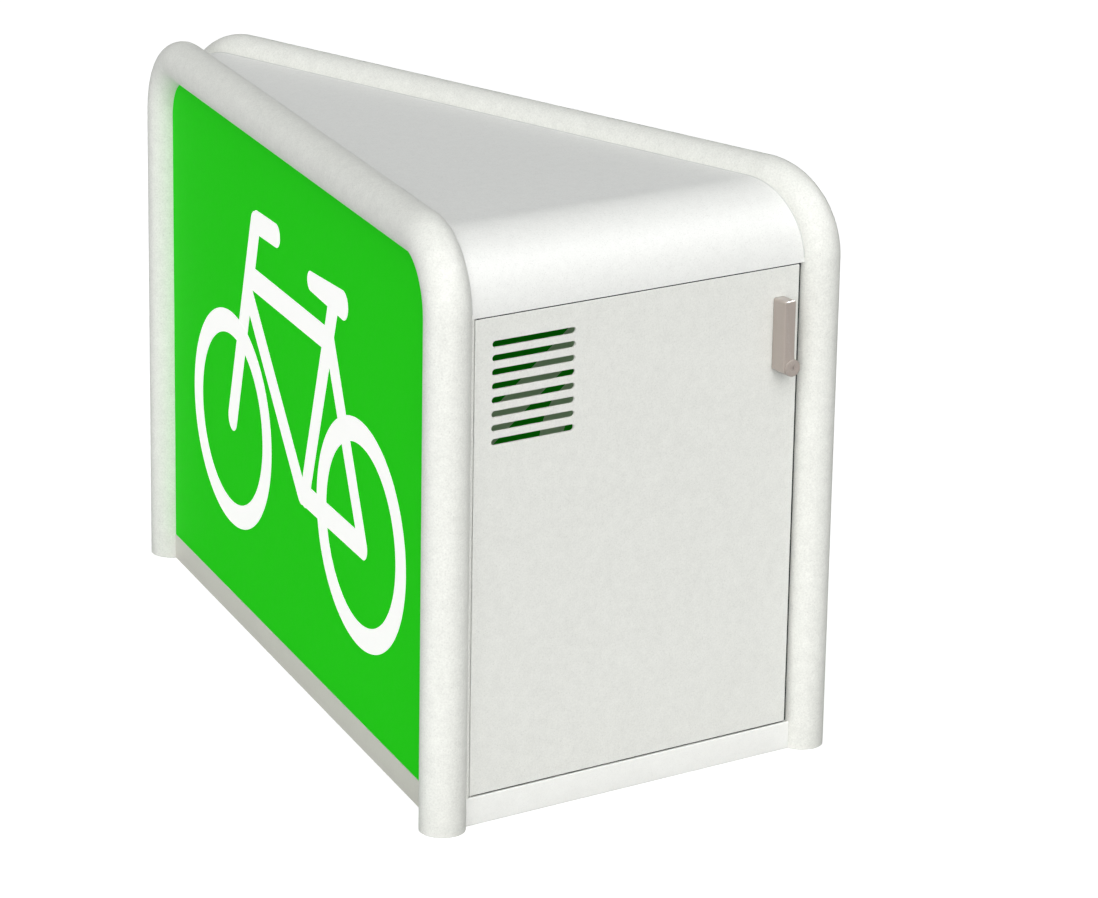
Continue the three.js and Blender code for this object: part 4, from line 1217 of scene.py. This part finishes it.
@dataclass
class Door:
    """The vented door pan with its stiffeners and pivots.

    The steps across and up are the points on each stretch of the face's grid, and two lines
    stand no closer than the closest distance.
    """

    gear: Gear = GEAR
    edge: float = 1.5 * MM
    corner: float = 3 * MM
    lip: float = 16 * MM
    vents: int = 8
    pitch: float = 30.6 * MM
    vent_height: float = 14.4 * MM
    vent_length: float = 0.212
    vent_side: float = 41 * MM
    vent_top: float = 59 * MM
    vent_round: float = 0.8 * MM
    vent_rim: Pair = (1.4 * MM, 6.5 * MM)
    rim_round: float = 0.4 * MM
    seal_proud: float = 2.5 * MM
    seal_depth: Pair = (1.6 * MM, 3.8 * MM)
    seal_foot: float = 0.05 * MM
    seal_stops: tuple[float, ...] = (-0.4, 0.0, 0.38)
    hinge_lead: float = 2.5 * MM
    foot_rise: float = 1.2 * MM
    cell_share: int = 6
    rim: float = 10 * MM
    hole: float = 7.4 * MM
    hole_cell: float = 20 * MM
    pin_reach: float = 19 * MM
    pin_soft: float = 0.8 * MM
    pin_tail: float = 34 * MM
    seal_swell: float = 0.6
    hole_rows: int = 8
    across_steps: tuple[int, ...] = (4, 13, 4, 12)
    up_steps: tuple[int, int] = (16, 4)
    closest: float = 0.3 * MM

    def openings(self) -> list[Opening]:
        """The vent slots and the spindle's hole."""
        g, step, radius = self.gear, self.pitch / self.cell_share, self.vent_height / 2
        cu = -g.door_half + self.vent_side + self.vent_length / 2
        reach, top = self.vent_length / 2 + 2 * radius, g.high - self.vent_top
        slots = [
            Opening((cu, v), self.vent_length / 2 - radius, radius,
                    (cu - reach, cu + reach, v - self.pitch / 2, v + self.pitch / 2))
            for v in top - self.pitch * np.arange(self.vents)
        ]
        au, av = g.axis
        first = top + self.pitch / 2
        upper = first - step * round((first - av) / step - self.hole_rows / 2)
        cell = (au - self.hole_cell, au + self.hole_cell, upper - self.hole_rows * step, upper)
        return [*slots, Opening(g.axis, 0.0, self.hole, cell)]

    def lines(self, vent: Opening, hole: Opening) -> tuple[Array, Array]:
        """Grid lines of the flat face: the cells' borders, the slots' ends and lines between.

        Args:
            vent: The top slot.
            hole: The spindle's hole.

        Returns:
            The u lines and the v lines, without those that lie on another.
        """
        g, both = self.gear, np.array([-1, 1])
        half, low, high = g.door_half - self.rim, g.low + self.rim, g.high - self.rim
        ends = vent.centre[0] + vent.straight * both
        marks = (vent.cell[0], *ends, vent.cell[1], hole.cell[0])
        spans = [np.linspace(*pair, n) for *pair, n in zip(marks, marks[1:], self.across_steps)]
        rods = [rod + g.window[0] * both for rod in g.rods]
        middle = g.axis[0] + np.linspace(-self.hole_cell, self.hole_cell, self.hole_rows + 1)
        across = [half * both, *spans, middle, *rods]
        step, top, rows = self.pitch / self.cell_share, vent.cell[3], self.vents * self.cell_share
        up = [np.linspace(low, top - rows * step, self.up_steps[0]),
              top - step * np.arange(rows + 1), np.linspace(top, high, self.up_steps[1])]
        lines = [np.sort(np.concatenate(group)) for group in (across, up)]
        return tuple(line[np.r_[True, np.diff(line) > self.closest]] for line in lines)

    def pan(self) -> Skin:
        """The folded pan.

        The flat of the face is a grid of lines with a ring of quads round each opening, on both
        sides of the sheet. The rim is a profile carried round the rounded rectangle: face, edge
        radius, return, back lip, and the same lines on the inside. On the hinge side it leads a
        little further out, and its outside stands a little higher at the foot.
        """
        g, skin, openings = self.gear, Skin(), self.openings()
        lines_u, lines_v = self.lines(openings[0], openings[-1])
        u, v = np.meshgrid(lines_u, lines_v)
        for depth in (0.0, g.sheet):
            skin.grid(g.on_door(stack(u, v, depth)), cols=False)
        for each in openings:
            u0, u1, v0, v1 = each.cell
            skin.drop((u0, g.front - g.sheet, v0), (u1, g.front + 2 * g.sheet, v1))
        r, soft, (wide, deep) = self.vent_round, self.rim_round, self.vent_rim
        rim = quarter_round(r, 3)
        for each in openings:
            border, edge = each.rings(lines_u, lines_v)
            if each.straight < WELD:
                back = [(offset, g.sheet - w) for offset, w in reversed(rim)]
            else:
                back = [(0, deep - soft), (soft, deep), (wide - soft, deep), (wide, deep - soft),
                        (wide, g.sheet)]
            profile = [(2 * r, 0.0), *rim, *back, (wide + r, g.sheet)]
            rows = [(edge(offset), w) for offset, w in profile]
            skin.grid(g.on_door(levels([(border, 0.0), *rows, (border, g.sheet)])))
        skin.grid(g.on_door(self.pan_rim(lines_u[1:-1], lines_v[1:-1])))
        half, depths = g.window
        low, high = g.front + depths
        for x, z0, z1 in ((g.rods[0], g.high - g.sheet, g.high),
                          (g.rods[1], g.low + self.foot_rise, g.low + g.sheet)):
            margin = g.sheet / 4
            skin.drop((x - half, low, z0 - margin), (x + half, high, z1 + margin))
            ring = window_ring(within(lines_u, x - half, x + half), low, high)
            skin.grid(levels([(ring, z0), (ring, z1)]))
        return skin

    def pan_rim(self, along_u: Array, along_v: Array) -> Array:
        """The pan's rim.

        Args:
            along_u: The face's u lines, where the rim has points too.
            along_v: The face's v lines.

        Returns:
            Rows of world X, world Z and depth behind the door's face.
        """
        g, e, inner = self.gear, self.edge, self.gear.depth - self.gear.sheet
        box = Box2(-g.door_half, g.door_half, g.low, g.high, (self.corner,) * 4, ROUND_STEPS,
                   along_u, along_v)
        front = quarter_round(e, 4)
        back = [(inset, g.depth - w) for inset, w in reversed(front)]
        depths = g.window[1]
        profile = [(self.rim, 0), (e + SUPPORT, 0), *front, (0, e + SUPPORT),
                   *((0, w) for w in depths), *back, (e + SUPPORT, g.depth), (self.lip, g.depth),
                   (self.lip, inner), (g.sheet, inner), *((g.sheet, w) for w in depths[::-1]),
                   (g.sheet, g.sheet), (self.rim, g.sheet)]
        rim = levels((box.outline(inset), w) for inset, w in profile)
        hinge = np.clip((self.rim - g.door_half - rim[..., 0]) / (self.rim - g.sheet), 0, 1)
        rim[..., 0] -= hinge * self.hinge_lead
        foot = np.clip((g.low + g.sheet - rim[..., 1]) / g.sheet, 0, 1)
        rim[..., 1] += foot * self.foot_rise
        return rim

    def seal(self) -> Skin:
        """Rubber lip round the pan's bottom, lock side and top.

        A small rounded section is carried along the pan's outline from the lower left corner to
        the upper left one; a section point stands out by its own height.
        """
        # Partly real, partly painted shade: the black lip is a seal, and how far it reaches and
        # stands out makes the door's gaps read as dark as shade
        g, (low, high), foot = self.gear, self.seal_depth, self.seal_foot
        box = Box2(-g.door_half, g.door_half, g.low + self.foot_rise, g.high, (self.corner,) * 4,
                   ROUND_STEPS, self.seal_stops)
        turn = np.linspace(0, math.pi, 7)[1:-1]
        proud = self.seal_proud * np.sin(turn) ** self.seal_swell
        depths = (low + high) / 2 - (high - low) / 2 * np.cos(turn)
        section = [(foot, low), *zip(proud, depths), (foot, high)]
        first, last = ROUND_STEPS, 3 * (ROUND_STEPS + 1) + 2 * len(self.seal_stops) + 1
        rows = levels((box.outline(-out)[first:last], w) for out, w in section)
        return Skin().grid(capped(g.on_door(rows.swapaxes(0, 1))))

    def build(self) -> None:
        """Makes the door."""
        g, soft = self.gear, self.pin_soft
        show("door_pan", self.pan(), Finish.DOOR, "door", "door_skin")
        # The black seal also stands in for the shade in the gaps round the door
        show("door_edge_seal", self.seal(), Finish.RUBBER, "door")
        soften(Finish.DOOR, "door", "upper_door_stiffener", "lower_door_stiffener",
               width=0.6 * MM)
        soften(Finish.ZINC, "door", "upper_pivot_block", "lower_pivot_block", width=0.8 * MM)
        long = self.pin_reach + g.sheet + g.plan.gap + self.pin_tail
        profile = [(0, 0), (g.pin - soft, 0), (g.pin, soft), (g.pin, long - soft),
                   (g.pin - soft, long), (0, long)]
        for name, facing, start in (("lower", Facing.UP, g.low - self.pin_reach),
                                    ("upper", Facing.DOWN, g.high + self.pin_reach)):
            skin = Skin().grid(facing.turned(spin_rows(profile), (*g.pivot, start)))
            show(f"{name}_pin", skin, Finish.STEEL, "door", f"{name}_pivot_pin")


@dataclass
class Lock:
    """Handle, spindle, cam, rods and guides.

    The disc's edge is given as insets and depths; support is the share of the edge radius by
    which the front face's last row is set in.
    """

    gear: Gear = GEAR
    standoff: float = 1.2 * MM
    width: float = 30 * MM
    offset: float = 9.5 * MM
    rise: float = 152 * MM
    foot: float = 10 * MM
    boss: float = 19.4 * MM
    corner: float = 4.5 * MM
    left_round: float = 4.5 * MM
    right_round: float = 3 * MM
    top_round: float = 3.4 * MM
    foot_round: float = 0.5 * MM
    disc: float = 19 * MM
    disc_rise: float = 3.2 * MM
    disc_edge: tuple[Pair, ...] = ((2.4 * MM, 0), (1 * MM, 0), (0.3 * MM, 0.3 * MM), (0, 1 * MM))
    support: float = 1.12
    back_round: float = 1.2 * MM
    side_stop: float = 16 * MM
    plug: float = 7.5 * MM
    plug_soft: float = 0.5 * MM
    spindle: float = 7 * MM
    tail: float = 3 * MM
    plug_depth: float = 24 * MM
    tail_depth: float = 8 * MM
    bore_gap: float = 0.3 * MM
    plate_seat: float = 5.3 * MM
    plate_screw: float = 4.4 * MM
    plate_reach: Pair = (19 * MM, 39 * MM)

    def outline(self) -> tuple[Array, Array]:
        """Front view of lever and boss in one line, counter-clockwise from the boss's foot.

        The lever is a rectangle with rounded corners. The boss's circle takes over where it
        stands out of the rectangle, at the lower right.

        Returns:
            Points relative to the axis as N x 2, and the radius of the front edge at each.
        """
        c, foot, head, top = self.corner, -self.foot, self.rise, self.top_round
        right = self.width / 2 - self.offset
        left = right - self.width
        low_turn = math.pi + math.asin(self.foot / self.boss)
        high_turn = 2 * math.pi + math.acos(right / self.boss)
        notch, start = self.boss * math.sin(high_turn), self.boss * math.cos(low_turn)
        parts = [
            (arc((0, 0), self.boss, low_turn, high_turn, 40), 0.0),
            (stack(right, np.linspace(notch, head - c, 26)[1:-1]), self.right_round),
            (arc((right - c, head - c), c, 0, QUARTER, 6), top),
            (stack(np.linspace(right - c, left + c, 8)[1:-1], head), top),
            (arc((left + c, head - c), c, QUARTER, 2 * QUARTER, 6), top),
            (stack(left, np.linspace(head - c, foot + c, 30)[1:-1]), self.left_round),
            (arc((left + c, foot + c), c, 2 * QUARTER, 3 * QUARTER, 6), top),
            (stack(np.linspace(left + c, start, 6)[1:-1], foot), self.foot_round),
        ]
        radii = [np.full(len(line), radius) for line, radius in parts]
        return np.vstack([line for line, _ in parts]), np.concatenate(radii)

    def handle(self) -> Skin:
        """Lever and boss as one ring-shaped surface.

        Columns follow the front view's line. Rows run up the key bore, over the boss's raised
        disc, over the lever's front face, round the front edge, back along the side, over the
        back face and up the spindle's bore. Round the front edge a point is set in along its
        normal by its radius times one minus the sine of the turn, and lies back by the radius
        times one minus the cosine. The boss's side runs straight from the disc to the back.
        """
        g, gap, (line, radius) = self.gear, self.bore_gap, self.outline()
        inward = left_of(np.roll(line, -1, 0) - np.roll(line, 1, 0))
        smooth = radius
        for _ in range(2):
            near = np.roll(smooth, 1) + 2 * smooth + np.roll(smooth, -1)
            smooth = np.where(radius > 0, near / 4, 0)
        front, back = g.front - g.plan.handle_reach, g.front - self.standoff
        circle = unit(np.arctan2(line[:, 1], line[:, 0]))

        def rows_at(points: Array, depth: Array | float) -> Array:
            """World points of the front view at a world Y."""
            return stack(g.axis[0] + points[:, 0], depth, g.axis[1] + points[:, 1])

        lever, end = front + self.disc_rise, front + self.plug_depth + gap
        tail, plug, disc, spindle = self.tail + gap, self.plug + gap, self.disc, self.spindle + gap
        tail_end = end + self.tail_depth + gap
        bores = [(spindle, back), (spindle, tail_end), (tail, tail_end), (tail, end), (plug, end),
                 (plug, front + self.plug_soft), (plug + self.plug_soft, front),
                 *((disc - inset, front + depth) for inset, depth in self.disc_edge),
                 (disc, lever)]
        rows = [rows_at(circle * r, y) for r, y in bores]
        rows.append(rows_at(line + inward * (smooth * self.support)[:, None], lever))
        rows += [rows_at(line + inward * (smooth * inset)[:, None], lever + smooth * depth)
                 for inset, depth in quarter_round(1.0, 6)]
        rows.append(rows_at(line, front + self.side_stop))
        rows += [rows_at(line + inward * depth, back - inset)
                 for inset, depth in quarter_round(self.back_round, 3)]
        return Skin().grid(np.stack(rows), rows=True)

    def build(self) -> None:
        """Makes the lock."""
        g, (right, up) = self.gear, self.plate_reach
        soften(Finish.ZINC, "door", "lock_plate", width=0.3 * MM)
        for name in ("upper", "lower"):
            soften(Finish.ZINC, f"{name}_rod", f"{name}_locking_rod", width=0.4 * MM)
        soften(Finish.NYLON, "door", "upper_rod_inner_guide", "upper_rod_outer_guide",
               "lower_rod_inner_guide", "lower_rod_middle_guide", "lower_rod_outer_guide",
               width=0.8 * MM)
        show("lock_lever", self.handle(), Finish.HANDLE, "handle", "lock_handle")
        soften(Finish.PLUG, "key_plug", "lock_plug", width=0.3 * MM)
        soften(Finish.STEEL, "handle", "handle_spindle", "lock_cam", "cam_nut", width=0.4 * MM)
        seats = [(g.axis[0] + u * right, g.front + self.plate_seat, g.axis[1] + v * up)
                 for u in (-1, 1) for v in (-1, 1)]
        show("lock_plate_screws", screw_heads(Facing.BACK, self.plate_screw, seats),
             Finish.STEEL, "door")


# ---- Studio ----


@dataclass(frozen=True)
class Lamp:
    """A far lamp: strength, where it shines from, its spread in degrees, and its colour.

    The last field names the kind of light that it doesn't give, as the lamp's own property.
    """

    name: str
    strength: float
    source: Triple
    spread: float
    colour: Triple = (1.0, 1.0, 1.0)
    without: str = ""

    def build(self) -> bpy.types.Object:
        """Makes the lamp."""
        data = bpy.data.lights.new(self.name, "SUN")
        data.energy, data.angle, data.color = self.strength, math.radians(self.spread), self.colour
        data.cycles.use_multiple_importance_sampling = False
        lamp = stand(self.name, data)
        lamp.rotation_mode = "QUATERNION"
        lamp.rotation_quaternion = Vector(self.source).to_track_quat("Z", "Y")
        if self.without:
            setattr(lamp, self.without, False)
        return lamp


@dataclass
class Studio:
    """Pale floor, soft light from the camera's side and the camera of the photograph."""

    place: Triple = (-5.5982, -8.6224, 3.8045)
    azimuth: float = 0.6104
    elevation: float = 0.3089
    roll: float = 0.0177
    lens: float = 152.40
    sensor: float = 36.0
    clip: Pair = (0.1, 200.0)
    lamps: tuple[Lamp, ...] = (
        Lamp("key", 3.15, (-0.42, -0.72, 0.56), 76.0, (1.0, 0.997, 0.985)),
        Lamp("fill", 0.95, (-0.81, 0.30, -0.50), 60.0, (0.98, 0.99, 1.0)),
        Lamp("rear", 1.7, (0.64, 0.77, -0.12), 20.0, (1.0, 0.997, 0.985), "visible_glossy"),
        Lamp("glint", 2.0, (0.55, -0.46, 0.70), 16.0, without="visible_diffuse"),
    )
    spark: Lamp = Lamp("spark", 9.0, (0.55, -0.30, 0.78), 14.0, without="visible_diffuse")
    sky: float = 0.235
    sky_colour: Triple = (0.93, 0.97, 1.0)
    floor_size: float = 60.0
    floor_colour: Triple = (0.30, 0.30, 0.30)
    floor_gloss: float = 0.6
    floor_glow: float = 0.86

    def camera(self) -> None:
        """Stands the camera where the photograph was taken from, turned and rolled as there."""
        az, el = self.azimuth, self.elevation
        cos, sin = math.cos(self.roll), math.sin(self.roll)
        ahead = [math.sin(az) * math.cos(el), math.cos(az) * math.cos(el), -math.sin(el)]
        right = np.cross(ahead, [0, 0, 1])
        right /= np.linalg.norm(right)
        up = np.cross(right, ahead)
        axes = np.array([cos * right + sin * up, cos * up - sin * right, -np.array(ahead)])
        data = bpy.data.cameras.new("photo_camera")
        data.lens, data.sensor_width = self.lens, self.sensor
        data.clip_start, data.clip_end = self.clip
        cam = stand("photo_camera", data)
        cam.matrix_world = Matrix.Translation(self.place) @ Matrix(axes.T.tolist()).to_4x4()
        bpy.context.scene.camera = cam

    def light_handle(self, piece: bpy.types.Object) -> None:
        """Adds a lamp that only the handle mirrors, for the bright line on its upper edge."""
        lit = bpy.data.collections.new("spark_lit")
        lit.objects.link(piece)
        self.spark.build().light_linking.receiver_collection = lit

    def sky_light(self) -> None:
        """An even sky; the camera itself sees plain white."""
        world = bpy.data.worlds.new("studio")
        bpy.context.scene.world = world
        world.use_nodes = True
        world.node_tree.nodes.clear()
        g = Graph(world.node_tree)
        seen = g.add("LightPath").outputs["Is Camera Ray"]
        light = g.add("Background", {0: self.sky_colour, 1: self.sky}).outputs[0]
        white = g.add("Background", {0: (1.0, 1.0, 1.0), 1: 1.0}).outputs[0]
        mix = g.add("MixShader", {0: seen, 1: light, 2: white}).outputs[0]
        g.add("OutputWorld", {"Surface": mix})

    def floor(self) -> None:
        """A large pale floor that looks almost white and takes a faint shadow."""
        s, mesh = self.floor_size, bpy.data.meshes.new("floor")
        corners = [(-s, -s, 0), (s, -s, 0), (s, s, 0), (-s, s, 0)]
        mesh.from_pydata(corners, [], [(0, 1, 2, 3)])
        floor = stand("floor", mesh)
        floor.visible_shadow = False
        material, g, shader = start_material("floor")
        g.fill(shader, {"Base Color": self.floor_colour, "Roughness": self.floor_gloss})
        seen = g.math("MULTIPLY", g.add("LightPath").outputs["Is Camera Ray"], self.floor_glow)
        glow = g.add("Emission", {0: (1.0, 1.0, 1.0), 1: seen}).outputs[0]
        both = g.add("AddShader", {0: shader.outputs[0], 1: glow}).outputs[0]
        g.add("OutputMaterial", {"Surface": both})
        mesh.materials.append(material)

    def build(self) -> None:
        """Sets up camera, lamps, sky and floor."""
        self.camera()
        for lamp in self.lamps:
            lamp.build()
        self.sky_light()
        self.floor()
        bpy.context.scene.view_settings.view_transform = "Standard"


def main() -> None:
    """Builds the studio and every sub-assembly in order."""
    logging.basicConfig(level=logging.INFO, format="%(name)s: %(message)s")
    for make in (make_powder_group, make_dust_group, make_wear_group, make_metal_group):
        make()
    studio = Studio()
    studio.build()
    for part in (Hoops(), SideWalls(), Roof(), Doorway(), CabinFloor(), Door(), Lock()):
        part.build()
        LOG.info("%s is done", type(part).__name__)
    studio.light_handle(bpy.data.objects["lock_lever"])


if __name__ == "__main__":
    main()
